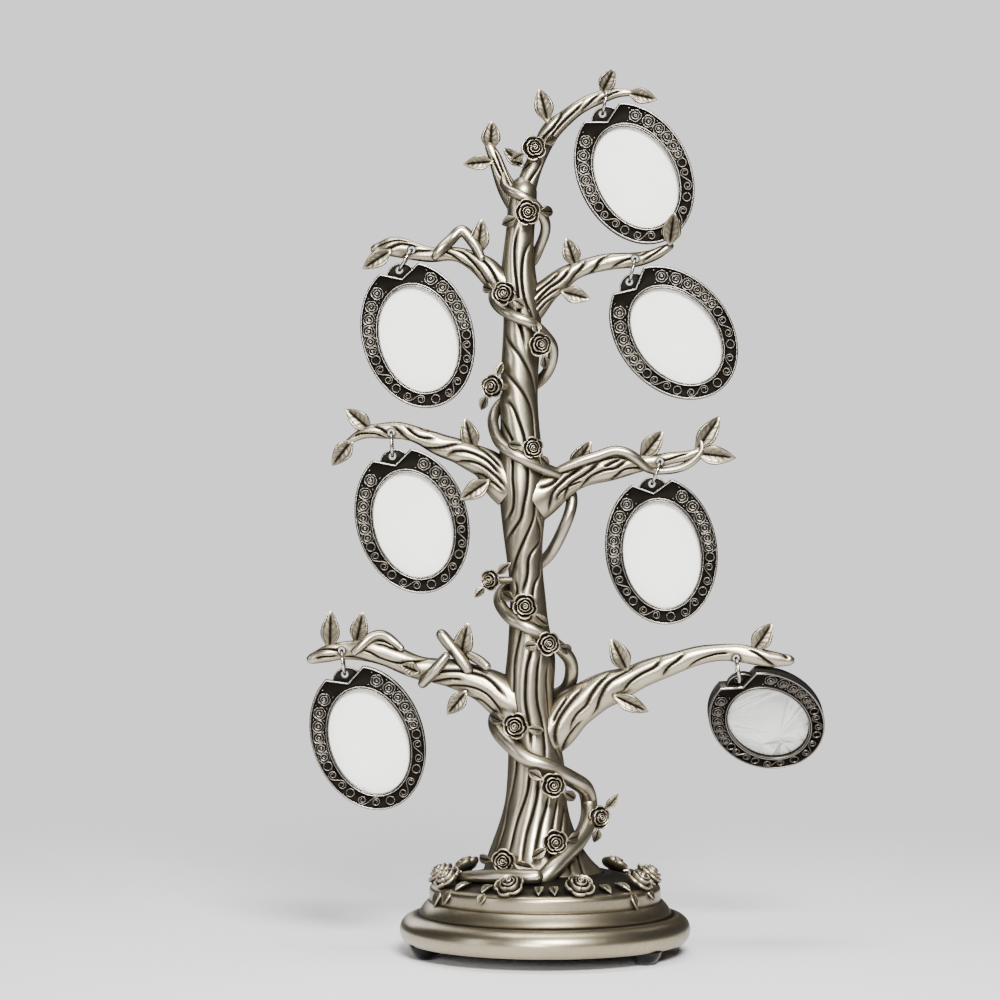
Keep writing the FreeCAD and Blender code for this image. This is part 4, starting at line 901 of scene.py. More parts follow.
def add_pierced(shell, rings, dirt_and_shade, eyes):
    # A closed skin with a round hole through it at each eye, walled from both faces to the middle.
    index = np.arange(dirt_and_shade.size).reshape(dirt_and_shade.shape)
    quads = ring_quads(index)
    flat = rings.reshape(-1, 3).copy()
    stain = dirt_and_shade.reshape(-1).copy()
    keep = np.ones(len(quads), bool)
    walls = []
    for eye in eyes:
        offset = flat[:, (0, 2)] - eye[[0, 2]]
        reach = np.linalg.norm(offset, axis=1)
        middle = flat[quads].mean(axis=1)[:, (0, 2)] - eye[[0, 2]]
        hole = np.linalg.norm(middle, axis=1) < EYE_CUT_RADIUS
        keep &= ~hole
        kept = quads[keep]
        edge = np.isin(np.arange(len(flat)), quads[hole]) & np.isin(np.arange(len(flat)), kept)
        share = ease(reach - EYE_CUT_RADIUS, EYE_SPREAD_RADIUS - EYE_CUT_RADIUS)
        spread = EYE_HOLE_RADIUS + share * (EYE_SPREAD_RADIUS - EYE_HOLE_RADIUS)
        spread[edge] = EYE_HOLE_RADIUS
        moved = (reach < EYE_SPREAD_RADIUS) & (reach > 0.0)
        scale = spread[moved] / reach[moved]
        flat[moved, 0] = eye[0] + offset[moved, 0] * scale
        flat[moved, 2] = eye[2] + offset[moved, 1] * scale
        stain[moved] = np.maximum(stain[moved], EYE_DIRT * (1.0 - share[moved]) ** EYE_DIRT_POWER)
        stain[edge] = EYE_EDGE_DIRT
        for first, second in ((0, 1), (1, 2), (2, 3), (3, 0)):
            pair = edge[kept[:, first]] & edge[kept[:, second]]
            walls.append(kept[pair][:, (second, first)])
    caps = []
    for ring, turn in ((index[0], 1), (index[-1], -1)):
        caps.append(fan(len(flat), ring, turn))
        flat = np.vstack((flat, flat[ring].mean(axis=0)))
        stain = np.append(stain, BRANCH_END_DIRT)
    pairs = np.concatenate(walls)
    used = np.unique(pairs)
    lookup = {number: len(flat) + place for place, number in enumerate(used)}
    inner = flat[used]
    inner[:, 1] = 0.0
    wall_quads = np.array([(a, b, lookup[b], lookup[a]) for a, b in pairs])
    shell.add(np.vstack((flat, inner)), np.concatenate((quads[keep], wall_quads)),
              np.concatenate(caps), np.append(stain, np.ones(len(used))))


# Base.
def base_top_z(radius):
    edge_height = BASE_EDGE_Z + BASE_EDGE_ROUND
    edge_reach = BASE_TOP_RADIUS - BASE_EDGE_ROUND
    fall = (BASE_SEAT_Z - edge_height) / (edge_reach - BASE_SEAT_RADIUS)
    return BASE_SEAT_Z - fall * (radius - BASE_SEAT_RADIUS)


def on_circle(radius, degrees, z):
    turn = math.radians(degrees)
    return np.array((radius * math.sin(turn), -radius * math.cos(turn), z))


def arc_points(start, middle, end, count):
    # Points of the arc through three points of the (radius, height) plane.
    start, middle, end = (np.array(p, float) for p in (start, middle, end))
    system = 2.0 * np.array((middle - start, end - start))
    centre = np.linalg.solve(system, np.array((middle @ middle - start @ start, end @ end - start @ start)))
    first = math.atan2(*(start - centre)[::-1])
    last = math.atan2(*(end - centre)[::-1])
    halfway = math.atan2(*(middle - centre)[::-1])
    sweep = (last - first) % (2.0 * math.pi)
    if (halfway - first) % (2.0 * math.pi) > sweep:
        sweep -= 2.0 * math.pi
    turns = first + sweep * np.linspace(0.0, 1.0, count)
    radius = np.linalg.norm(start - centre)
    return [(centre[0] + radius * math.cos(t), centre[1] + radius * math.sin(t)) for t in turns]


def spaced(outline, spacing):
    # The outline with its long straight runs divided.
    result = []
    for (r0, z0), (r1, z1) in zip(outline, outline[1:] + outline[:1]):
        pieces = max(int(math.hypot(r1 - r0, z1 - z0) / spacing), 1)
        for step in range(pieces):
            share = step / pieces
            result.append((r0 + (r1 - r0) * share, z0 + (z1 - z0) * share))
    return result


def add_revolved(shell, outline, around, dirt_and_shade_of, centre=(0.0, 0.0), closed=True):
    outline = np.array(outline)
    turns = full_turn(around)
    x = centre[0] + outline[:, 0, None] * np.sin(turns)[None, :]
    y = centre[1] - outline[:, 0, None] * np.cos(turns)[None, :]
    z = np.broadcast_to(outline[:, 1, None], x.shape)
    dirt_and_shade = np.array([dirt_and_shade_of(radius, height) for radius, height in outline])[:, None]
    shell.add_grid(np.stack((x, y, z), axis=-1), dirt_and_shade, round_rows=closed)


def make_base(material):
    ledge_reach = BASE_STEP_RADIUS + BASE_STEP_LEDGE
    step_top = (BASE_TOP_RADIUS + BASE_TOP_LEDGE, BASE_STEP_Z)
    step_waist_z = (BASE_RIM_TOP_Z + BASE_STEP_Z) / 2.0
    step_waist = ((BASE_STEP_RADIUS + step_top[0]) / 2.0 + BASE_TOP_LEDGE / 2.0, step_waist_z)
    corner = BASE_EDGE_ROUND * (1.0 - math.sqrt(0.5))
    edge_middle = (BASE_TOP_RADIUS - corner, BASE_EDGE_Z + BASE_EDGE_ROUND - corner)
    edge_top = (BASE_TOP_RADIUS - BASE_EDGE_ROUND, BASE_EDGE_Z + BASE_EDGE_ROUND)
    ceiling_z = BASE_SEAT_Z - BASE_WALL
    plate_top_z = BASE_UNDERSIDE_Z + BOTTOM_PLATE_THICKNESS
    ledge = BOTTOM_PLATE_RADIUS + CLEARANCE
    outline = arc_points(
        (BASE_RIM_RADIUS - BASE_RIM_UNDERCUT, BASE_UNDERSIDE_Z), (BASE_RIM_RADIUS, BASE_RIM_BELLY_Z),
        (ledge_reach, BASE_RIM_TOP_Z), BASE_RIM_ALONG)
    outline += arc_points((BASE_STEP_RADIUS, BASE_RIM_TOP_Z), step_waist, step_top, BASE_STEP_ALONG)
    outline += [(BASE_TOP_RADIUS, BASE_STEP_Z)]
    outline += arc_points((BASE_TOP_RADIUS, BASE_EDGE_Z), edge_middle, edge_top, BASE_EDGE_ALONG)
    outline += [
        (BASE_SEAT_RADIUS, BASE_SEAT_Z), (BASE_HOLE_RADIUS, BASE_SEAT_Z), (BASE_HOLE_RADIUS, ceiling_z),
        (BASE_SEAT_RADIUS, ceiling_z), (BASE_TOP_RADIUS - BASE_WALL, BASE_STEP_Z),
        (BASE_TOP_RADIUS - BASE_WALL, BASE_RIM_TOP_Z - BASE_WALL), (ledge - BASE_WALL, plate_top_z),
        (ledge, plate_top_z), (ledge, BASE_UNDERSIDE_Z),
    ]

    def dirt_and_shade_of(radius, height):
        groove = math.hypot(radius - BASE_STEP_RADIUS, height - BASE_RIM_TOP_Z)
        crease = math.hypot(radius - BASE_TOP_RADIUS, height - BASE_STEP_Z)
        face = BASE_HOLLOW_DIRT if radius < BASE_TOP_RADIUS - BASE_WALL and height < BASE_STEP_Z else 0.0
        # The upper face: patina, with painted shade that grows towards the trunk.
        if height > edge_top[1] - BASE_TOP_MARGIN and radius < edge_top[0]:
            near_trunk = (BASE_TOP_RADIUS - radius) / (BASE_TOP_RADIUS - BASE_SEAT_RADIUS)
            face = min(BASE_TOP_STAIN_AND_SHADE[0] + BASE_TOP_SHADE_RISE * near_trunk, BASE_TOP_STAIN_AND_SHADE[1])
        return max(BASE_GROOVE_DIRT[0] * bell(groove, BASE_GROOVE_DIRT[1]),
                   BASE_CREASE_DIRT[0] * bell(crease, BASE_CREASE_DIRT[1]), face)

    shell = Shell()
    add_revolved(shell, spaced(outline, BASE_SPACING), BASE_ROUND, dirt_and_shade_of)
    shell.object("base_casting", "tree", material, "base_pewter", ["base_shell"])


def make_feet(material):
    shell = Shell()
    centre_z = FOOT_BALL_RADIUS - FOOT_FLAT_DEPTH
    bottom = math.asin(centre_z / FOOT_BALL_RADIUS)
    top = math.asin((BASE_UNDERSIDE_Z - centre_z) / FOOT_BALL_RADIUS)
    outline = []
    for step in np.linspace(-bottom, top, FOOT_ALONG):
        outline.append((FOOT_BALL_RADIUS * math.cos(step), centre_z + FOOT_BALL_RADIUS * math.sin(step)))
    for degrees in FOOT_DEGREES:
        place = on_circle(FOOT_CIRCLE_RADIUS, degrees, 0.0)
        add_revolved(shell, outline, FOOT_ROUND, lambda radius, height: 0.0, place[:2], closed=False)
    shell.object("feet_balls", "tree", material, "foot_rubber", ["ball_feet"])


# Leaves and roses.
LEAF_TOP_SHARES = np.array((
    -1.0, -0.97, -0.93, -0.88, -0.83, -0.76, -0.66, -0.54, -0.42, -0.3, -0.2, -0.12, -0.06, 0.0,
    0.06, 0.12, 0.2, 0.3, 0.42, 0.54, 0.66, 0.76, 0.83, 0.88, 0.93, 0.97, 1.0,
))
LEAF_BACK_SHARES = np.array((0.9, 0.7, 0.4, 0.0, -0.4, -0.7, -0.9))


def add_leaf(shell, foot, tip, outward, width, detail=1.0, rows=LEAF_ALONG):
    direction = unit(tip - foot)
    length = np.linalg.norm(tip - foot)
    side = unit(np.cross(direction, outward))
    outward = np.cross(side, direction)
    places = np.linspace(0.0, 1.0, rows)
    shares = natural_curve(*np.array(LEAF_SHARES).T, places)
    widths = np.clip(shares, *LEAF_SHARE_LIMITS) * width / 2.0
    share = widths / (width / 2.0)
    half_thick = LEAF_THICKNESS / 2.0 * (LEAF_RIM_SHARE + (1.0 - LEAF_RIM_SHARE) * np.sqrt(share))
    bow = LEAF_CURL_SHARE * length * np.sin(math.pi * places)
    v = LEAF_TOP_SHARES[None, :]
    u = places[:, None]
    beside = np.abs(v)
    rise = half_thick[:, None] * np.sqrt(np.clip(1.0 - v ** 2, 0.0, 1.0)) ** LEAF_EDGE_POWER
    blade = ease(share[:, None] * LEAF_BLADE_WIDTH_GAIN, 1.0) * ease(u - LEAF_BLADE_START, LEAF_FADE)
    rim = bell(beside - LEAF_RIM_PLACE, LEAF_RIM_HALF)
    hollow = np.clip(1.0 - (beside / LEAF_RIM_PLACE) ** LEAF_HOLLOW_POWER, 0.0, 1.0)
    vein = bell(v * widths[:, None], LEAF_VEIN_WIDTH * detail) * ease(LEAF_VEIN_END - u, LEAF_FADE)
    vein = vein * ease(u - LEAF_VEIN_START, LEAF_VEIN_START_FADE)
    side_veins = np.zeros_like(rise)
    for start in LEAF_SIDE_VEIN_SHARES:
        away = (u - (start + LEAF_SIDE_VEIN_SLOPE * beside)) * length
        reach = ease(LEAF_RIM_PLACE - LEAF_SIDE_VEIN_MARGIN - beside, LEAF_SIDE_VEIN_FADE)
        side_veins = np.maximum(side_veins, bell(away, LEAF_SIDE_VEIN_WIDTH * detail) * reach)
    shape = LEAF_RIM_RISE * rim - LEAF_HOLLOW * hollow - LEAF_VEIN_DEPTH * vein
    shape = shape - LEAF_SIDE_VEIN_DEPTH * side_veins
    rise = rise + detail * blade * shape
    dirt_and_shade = blade * (LEAF_VEIN_DIRT * vein + LEAF_SIDE_VEIN_DIRT * side_veins + LEAF_HOLLOW_DIRT * hollow)
    back = LEAF_BACK_SHARES
    fall = -half_thick[:, None] * np.sqrt(1.0 - back ** 2)
    all_v = np.concatenate((LEAF_TOP_SHARES, back))
    all_rise = np.concatenate((rise, fall), axis=1)
    dirt_and_shade = np.concatenate((dirt_and_shade, np.full(fall.shape, LEAF_BACK_DIRT)), axis=1)
    middle = foot + direction * (length * places)[:, None] + outward * bow[:, None]
    grid = middle[:, None, :] + side * (all_v * widths[:, None])[:, :, None]
    shell.add_grid(grid + outward * all_rise[:, :, None], dirt_and_shade)


def rose_facing(outward):
    # Where a rose's face looks: less far round to the side than the bark behind it.
    turn = math.atan2(outward[0], -outward[1]) * ROSE_FACING_SHARE
    return np.array((math.sin(turn), -math.cos(turn), 0.0))


def add_stem(shell, place, facing, outward, radius, reach, vine, vine_radius):
    # A rose's stem, from inside its head to the first of the vine and the trunk.
    start = place + facing * radius
    kept = []
    for share in np.linspace(0.0, 1.0, STEM_ALONG):
        step = start - outward * (radius + reach) * share
        kept.append(step)
        deep_in_vine = (vine_radius - np.linalg.norm(vine - step, axis=1)).max()
        from_axis = math.hypot(step[0] - trunk_centre(step[2]), step[1] / TRUNK_DEPTH_SHARE)
        deep = max(deep_in_vine, trunk_half(step[2]) - from_axis)
        if len(kept) >= STEM_LEAST_ALONG and deep > STEM_SEAT_DEPTH:
            break
    path = np.array(kept)
    directions = path_directions(path)
    sides = carried_sides(directions, (0.0, 0.0, 1.0))
    thick = np.full(len(path), radius)
    shell.add_grid(swept(path, sides, np.cross(directions, sides), thick, thick, STEM_ROUND), STEM_DIRT)


def add_rose(shell, place, outward, diameter, depth, spin, layers=ROSE_LAYERS, around=ROSE_ROUND, dull=0.0):
    # A wound bud inside layers of cupped petals, each petal's end lying over the next one's start.
    outward = unit(outward)
    side = unit(np.cross(np.array((0.0, 0.0, 1.0)), outward))
    upward = np.cross(outward, side)
    turns = full_turn(around)
    chance = np.random.default_rng(int(spin * ROSE_SEEDS_PER_RADIAN) + ROSE_FIRST_SEED)
    rows = []
    for share in np.linspace(ROSE_BUD_START, ROSE_BUD_REACH, ROSE_BUD_ALONG):
        part = (ROSE_BUD_TURNS * share / ROSE_BUD_REACH - turns / (2.0 * math.pi)) % 1.0
        groove = bell(part - 0.5, ROSE_BUD_GROOVE_HALF)
        rows.append((np.full(around, share), 1.0 - ROSE_BUD_GROOVE_DEPTH * groove, ROSE_BUD_DIRT * groove))
    inner = np.full(around, ROSE_BUD_REACH)
    for count, layer_reach, dip, overlap in layers:
        place_in_layer = turns / (2.0 * math.pi) * count + chance.random()
        petal = place_in_layer % 1.0
        sizes = 1.0 + ROSE_PETAL_SPREAD * (chance.random(count) - 0.5)
        lobe = np.sqrt(np.clip(np.sin(math.pi * petal), 0.0, 1.0))
        outer = layer_reach * sizes[np.floor(place_in_layer).astype(int) % count]
        outer = outer * (1.0 - dip * (1.0 - lobe) + overlap * (petal - 0.5))
        outer = np.maximum(outer, inner * ROSE_LEAST_GROWTH)
        lip = 1.0 - ROSE_LAYER_FALL * layer_reach ** ROSE_LAYER_FALL_POWER + ROSE_PETAL_TILT * (petal - 0.5)
        for share, rise, stain in PETAL_ROWS:
            height = lip - ROSE_PETAL_FALL * (1.0 - rise)
            rows.append((inner + (outer - inner) * share, height, np.full(around, min(stain + dull, 1.0))))
        inner = outer
    for share, level, stain in ROSE_BACK_ROWS:
        rows.append((inner * share, np.full(around, level), np.full(around, stain)))
    reach, height, dirt_and_shade = np.array(rows).transpose(1, 0, 2)
    reach = reach / np.percentile(inner, ROSE_OUTLINE_PERCENT) * diameter / 2.0
    grid = place + side * (reach * np.cos(turns + spin))[:, :, None]
    grid = grid + upward * (reach * np.sin(turns + spin))[:, :, None]
    shell.add_grid(grid + outward * (height * depth)[:, :, None], dirt_and_shade)


def vine_width_near(row):
    return min(VINE_PX, key=lambda entry: abs(entry[0] - row))[3] * MM_PER_PIXEL


def make_leaves(material):
    shell = Shell()
    for column, row, depth, tip_column, tip_row, tip_depth, width in LEAVES_PX:
        foot = point(column, row, depth)
        tip = point(tip_column, tip_row, tip_depth)
        add_leaf(shell, foot, tip, FRONT, width * MM_PER_PIXEL)
    shell.object("veined_leaves", "tree", material, "leaf_pewter", ["branch_leaves"])


def make_roses(rose_material, leaf_material, vine, vine_radius):
    roses = Shell()
    leaves = Shell()
    for number, (column, row, diameter, *leaf_tips) in enumerate(VINE_ROSES_PX):
        width = vine_width_near(row)
        place, outward = bark_place(column, row, width + CLEARANCE)
        size = diameter * MM_PER_PIXEL
        facing = rose_facing(outward)
        add_rose(roses, place, facing, size, size * ROSE_DEPTH_SHARE, number * VINE_ROSE_TURN)
        stem_radius = size / 2.0 * ROSE_STEM_SHARE
        add_stem(roses, place, facing, outward, stem_radius, ROSE_STEM_REACH_SHARE * width, vine, vine_radius)
        for tip_column, tip_row in leaf_tips:
            tip = bark_place(tip_column, tip_row, width * ROSE_LEAF_STAND_SHARE)[0]
            away = tip - place
            beside = unit(away - facing * away.dot(facing))
            foot = place + beside * (size / 2.0 * ROSE_LEAF_FOOT_SHARE) + facing * LEAF_THICKNESS
            tip = tip + beside * (ROSE_LEAF_REACH_SHARE * size / 2.0)
            width_here = size * ROSE_LEAF_WIDTH_SHARE
            add_leaf(leaves, foot, tip, facing, width_here, SMALL_LEAF_DETAIL, SMALL_LEAF_ALONG)
    roses.object("vine_rose_heads", "tree", rose_material, "rose_pewter", ["vine_roses"])
    leaves.object("rose_side_leaves", "tree", leaf_material, "leaf_pewter", ["rose_leaves"])


def make_base_flowers(rose_material, leaf_material):
    roses = Shell()
    leaves = Shell()
    radius = BASE_TOP_RADIUS * BASE_ROSE_CIRCLE_SHARE
    fall = (base_top_z(BASE_SEAT_RADIUS) - base_top_z(radius)) / (radius - BASE_SEAT_RADIUS)
    for number, degrees in enumerate(BASE_ROSE_DEGREES):
        outward = unit(on_circle(BASE_ROSE_TILT, degrees, 1.0))
        place = on_circle(radius, degrees, base_top_z(radius) + BASE_ROSE_LIFT)
        depth = BASE_ROSE_DIAMETER * ROSE_DEPTH_SHARE
        add_rose(roses, place, outward, BASE_ROSE_DIAMETER, depth, number * BASE_ROSE_TURN)
    for degrees in BASE_LEAF_DEGREES:
        outward = unit(on_circle(fall, degrees, 1.0))
        lift = outward * (LEAF_THICKNESS / 2.0 + CLEARANCE)
        foot, tip = (
            on_circle(reach, degrees, base_top_z(reach)) + lift
            for reach in (radius - BASE_LEAF_LENGTH / 2.0, radius + BASE_LEAF_LENGTH / 2.0))
        add_leaf(leaves, foot, tip, outward, BASE_LEAF_WIDTH, SMALL_LEAF_DETAIL, SMALL_LEAF_ALONG)
    for degrees, length, width in BASE_TONGUES:
        foot = on_circle(BASE_TOP_RADIUS - BASE_TONGUE_FOOT, degrees, BASE_EDGE_Z + BASE_EDGE_ROUND)
        tip = on_circle(BASE_TOP_RADIUS + BASE_TONGUE_STAND, degrees, BASE_EDGE_Z - length)
        outward = on_circle(1.0, degrees, BASE_TONGUE_FACING)
        add_leaf(leaves, foot, tip, outward, width, TONGUE_DETAIL, SMALL_LEAF_ALONG)
    roses.object("base_rose_heads", "tree", rose_material, "rose_pewter", ["base_roses"])
    leaves.object("base_small_leaves", "tree", leaf_material, "leaf_pewter", ["base_leaves"])


# Vines.
def make_vines(material):
    upright = (0.0, 0.0, 1.0)
    places = []
    for row, degrees, lift, width in VINE_PX:
        reach = trunk_reach(up(row), degrees) + half_mm(width) + CLEARANCE + lift * MM_PER_PIXEL
        places.append(round_trunk(up(row), degrees, reach))
    radii = [half_mm(width) for row, degrees, lift, width in VINE_PX]
    shell = Shell()
    vine, vine_radius = add_tube(shell, places, radii, upright, VINE_SPACING, VINE_ROUND)
    shell.object("vine_stem", "tree", material, "vine_pewter", ["trunk_vine"])
    places = []
    for degrees, radius_share, width in ROOT_VINE_SHARES:
        radius = BASE_TOP_RADIUS * radius_share
        places.append(on_circle(radius, degrees, base_top_z(radius) + half_mm(width) + CLEARANCE))
    radii = [half_mm(width) for degrees, radius_share, width in ROOT_VINE_SHARES]
    shell = Shell()
    add_tube(shell, places, radii, upright, VINE_SPACING, VINE_ROUND)
    shell.object("root_runner", "tree", material, "vine_pewter", ["root_vine"])
    for name, strands in TENDRILS_PX.items():
        shell = Shell()
        for rows in strands:
            places = [point(column, row, depth) for column, row, depth, width in rows]
            radii = [half_mm(width) * TENDRIL_FULLNESS[name] for column, row, depth, width in rows]
            add_tube(shell, places, radii, -FRONT, TENDRIL_SPACING, TENDRIL_ROUND)
        shell.object(name + "_stem", "tree", material, "vine_pewter", [name])
    return vine, vine_radius


# Frames.
LEAST_SINE = 1e-3
LEAST_LENGTH = 1e-9


def window_edge(turn, margin):
    # Distance from the window's middle to its edge, set out by a margin.
    wide = WINDOW_HALF_WIDTH + margin
    high = WINDOW_HALF_HEIGHT + margin
    return 1.0 / np.sqrt((np.cos(turn) / wide) ** 2 + (np.sin(turn) / high) ** 2)


def oval_reach(turn, wide, high, rise):
    # Distance from the window's middle to an oval whose middle is higher.
    c, s = np.cos(turn), np.sin(turn)
    a = (c / wide) ** 2 + (s / high) ** 2
    b = -2.0 * s * rise / high ** 2
    k = (rise / high) ** 2 - 1.0
    return (-b + np.sqrt(b * b - 4.0 * a * k)) / (2.0 * a)


def rim_edge(turn, margin):
    # The frame's outline, set in by a margin: an oval with a V cut into its top.
    oval = oval_reach(turn, BEZEL_HALF_WIDTH - margin, BEZEL_HALF_HEIGHT - margin, BEZEL_RISE)
    slope = (BEZEL_HALF_HEIGHT - NOTCH_FLOOR_Z) / NOTCH_HALF_WIDTH
    floor = NOTCH_FLOOR_Z - margin * math.hypot(1.0, slope)
    rise = np.sin(turn) - slope * np.abs(np.cos(turn))
    cut = np.where(rise > LEAST_SINE, floor / np.maximum(rise, LEAST_SINE), np.inf)
    return np.minimum(oval, cut)


def bezel_turns():
    # Angles round the frame, closer together at the notch and with its corners met exactly.
    fine = full_turn(BEZEL_SEARCH_ROUND)
    oval = oval_reach(fine, BEZEL_HALF_WIDTH, BEZEL_HALF_HEIGHT, BEZEL_RISE)
    cut = rim_edge(fine, 0.0) < oval - LEAST_LENGTH
    corners = fine[np.nonzero(np.diff(cut.astype(int)))[0]]
    turns = list(full_turn(BEZEL_ROUND))
    for corner in list(corners) + [math.pi / 2.0]:
        turns = [turn for turn in turns if abs(turn - corner) > CORNER_CLEAR]
        turns += [corner - CORNER_NEAR, corner, corner + CORNER_NEAR]
    return np.array(sorted(turns))


def add_section(shell, turns, section, middle_z=0.0):
    # A flat ring about a middle: for each row of its closed section, its reach, its depth and its dirt.
    rows = []
    for reach, y, stain in section:
        reach = np.broadcast_to(reach, turns.shape)
        y = np.full_like(turns, y)
        rows.append(np.stack((reach * np.cos(turns), y, middle_z + reach * np.sin(turns)), axis=-1))
    dirt_and_shade = np.array([stain for reach, y, stain in section])[:, None]
    shell.add_grid(np.array(rows), dirt_and_shade, round_rows=True)


def make_frame_template():
    # One frame in its own upright place: the middle of the window at the origin, its front towards -Y.
    shell = Shell()
    turns = bezel_turns()
    edges = {"window": window_edge, "rim": rim_edge}
    add_section(shell, turns, [
        (edges[edge](turns, margin), depth - BEZEL_HALF_THICKNESS, stain)
        for edge, margin, depth, stain in BEZEL_SECTION])
    add_tab(shell)
    add_relief(shell)
    return shell


def add_tab(shell):
    # A disc with a raised rim and a hole nearer its top.
    turns = full_turn(TAB_ROUND)
    lift = TAB_HOLE_Z - TAB_CENTRE_Z
    outer = -lift * np.sin(turns) + np.sqrt(TAB_RADIUS ** 2 - (lift * np.cos(turns)) ** 2)
    down = np.maximum(-np.sin(turns), LEAST_SINE)
    outer = np.where(np.sin(turns) < 0.0, np.minimum(outer, (TAB_HOLE_Z - TAB_FOOT_Z) / down), outer)
    section = []
    for edge, margin, face, depth, stain in TAB_SECTION:
        reach = outer - margin if edge == "rim" else TAB_HOLE_RADIUS + margin
        section.append((reach, face * (TAB_HALF_THICKNESS - depth), stain))
    add_section(shell, turns, section, TAB_HOLE_Z)


def channel_place(degrees, share=0.0):
    # A point on the channel's floor, at a share of its half width outwards, with its directions.
    places = []
    halves = []
    for turn in (math.radians(degrees), math.radians(degrees) + math.radians(CHANNEL_STEP_DEGREES)):
        inner = float(window_edge(turn, CHANNEL_INNER_MARGIN))
        outer = float(rim_edge(turn, CHANNEL_OUTER_MARGIN))
        reach = (inner + outer) / 2.0
        floor_y = CHANNEL_FLOOR_DEPTH - BEZEL_HALF_THICKNESS
        places.append(np.array((reach * math.cos(turn), floor_y, reach * math.sin(turn))))
        halves.append((outer - inner) / 2.0)
    place, next_place = places
    along_it = unit(next_place - place)
    outward = unit(np.cross(along_it, -FRONT))
    if outward @ place < 0.0:
        outward = -outward
    half = halves[0] * abs(outward @ unit(place * np.array((1.0, 0.0, 1.0))))
    return place + outward * (share * half), along_it, outward, half


def add_relief(shell):
    number = 0
    for degrees in RELIEF_ROSE_DEGREES:
        for mirrored, step in ((degrees, RELIEF_LEAF_STEP), (180.0 - degrees, -RELIEF_LEAF_STEP)):
            place, along_it, outward, half = channel_place(mirrored)
            size = 2.0 * min(half * RELIEF_ROSE_FILL, RELIEF_ROSE_HALF)
            add_rose(shell, place, FRONT, size, RELIEF_RISE, number * RELIEF_ROSE_TURN, RELIEF_LAYERS,
                     RELIEF_ROSE_ROUND, RELIEF_ROSE_DIRT)
            number += 1
            for side in (1.0, -1.0):
                place, along_it, outward, half = channel_place(mirrored + step, side * RELIEF_LEAF_SHARE)
                add_relief_leaf(shell, place, unit(along_it + outward * (side * RELIEF_LEAF_SLANT)))
    lift = FRONT * RELIEF_WIRE_LIFT
    for degrees in RELIEF_RING_DEGREES:
        place, along_it, outward, half = channel_place(degrees)
        radius = min(RELIEF_RING_RADIUS, half * RELIEF_RING_FILL)
        add_wire(shell, [
            place + along_it * radius * math.cos(turn) + outward * radius * math.sin(turn) + lift
            for turn in np.linspace(0.0, 2.0 * math.pi, RELIEF_RING_ALONG)])
    for first, second in zip(RELIEF_RING_DEGREES, RELIEF_RING_DEGREES[1:]):
        middle = (first + second) / 2.0
        place, along_it, outward, half = channel_place(middle)
        degrees_per_mm = 1.0 / np.linalg.norm(channel_place(middle + 1.0)[0] - place)
        path = []
        for beside, over in scroll_points():
            share = np.clip(over / half, -SCROLL_LIMIT, SCROLL_LIMIT)
            path.append(channel_place(middle + beside * degrees_per_mm, share)[0] + lift)
        add_wire(shell, path)


def scroll_points():
    # From the middle of one spiral, out over its top, across to the other and into its middle.
    first, last = SCROLL_REACHES
    half = []
    for share in np.linspace(0.0, 1.0, SCROLL_ALONG):
        turn = math.radians(90.0 + SCROLL_DEGREES * (1.0 - share))
        reach = first + (last - first) * share
        half.append((reach * math.cos(turn) - SCROLL_OFFSET[0], reach * math.sin(turn) + SCROLL_OFFSET[1]))
    ends = half + [(-x, -y) for x, y in reversed(half)]
    return smooth_path([(x, 0.0, y) for x, y in ends], SCROLL_SPACING)[0][:, (0, 2)]


def add_wire(shell, path):
    # A wire of the relief, which stands deeper than it is wide.
    path = np.array(path)
    directions = path_directions(path)
    sides = carried_sides(directions, -FRONT)
    radius = np.full(len(path), RELIEF_WIRE_RADIUS)
    rings = swept(path, sides, np.cross(directions, sides), radius * RELIEF_WIRE_DEPTH_SHARE, radius,
                  RELIEF_WIRE_ROUND)
    shell.add_grid(rings, RELIEF_WIRE_DIRT)


def add_relief_leaf(shell, place, along_it):
    # A small raised leaf between the roses of the relief.
    turns = full_turn(RELIEF_LEAF_ROUND)
    beside = np.cross(along_it, -FRONT)
    long_half, short_half = RELIEF_LEAF_HALVES
    rows = []
    for reach, rise, _ in RELIEF_LEAF_ROWS:
        ring = place + along_it * (long_half * reach * np.cos(turns))[:, None]
        ring = ring + beside * (short_half * reach * np.sin(turns))[:, None]
        rows.append(ring + FRONT * (short_half * rise * RELIEF_LEAF_RISE))
    dirt_and_shade = np.array(RELIEF_LEAF_ROWS)[:, 2:]
    shell.add_grid(np.array(rows), dirt_and_shade, caps=(False, True))


def hanger_matrix(hanger):
    column, row, ring_lean, frame_lean, kick = hanger
    lean = math.radians(ring_lean)
    direction = Vector((-math.sin(lean), 0.0, -math.cos(lean)))
    normal = Vector((math.cos(lean), 0.0, -math.sin(lean)))
    eye = Vector(point(column, row))
    centre = eye + direction * RING_RADIUS
    turn = Matrix.Rotation(math.radians(-frame_lean), 4, "Y")
    tab_hole = eye + direction * (2.0 * RING_RADIUS)
    place = tab_hole - turn @ Vector((0.0, 0.0, TAB_HOLE_Z))
    hung = Matrix.Translation(place) @ turn
    kicked = Matrix.Translation(centre) @ Matrix.Rotation(math.radians(kick), 4, normal)
    return kicked @ Matrix.Translation(-centre) @ hung, centre, direction, normal


def moved_shell(template, matrix):
    result = Shell()
    table = np.array(matrix)
    for points in template.points:
        result.points.append(points @ table[:3, :3].T + table[:3, 3])
    result.quads = template.quads
    result.triangles = template.triangles
    result.dirt_and_shade = template.dirt_and_shade
    return result


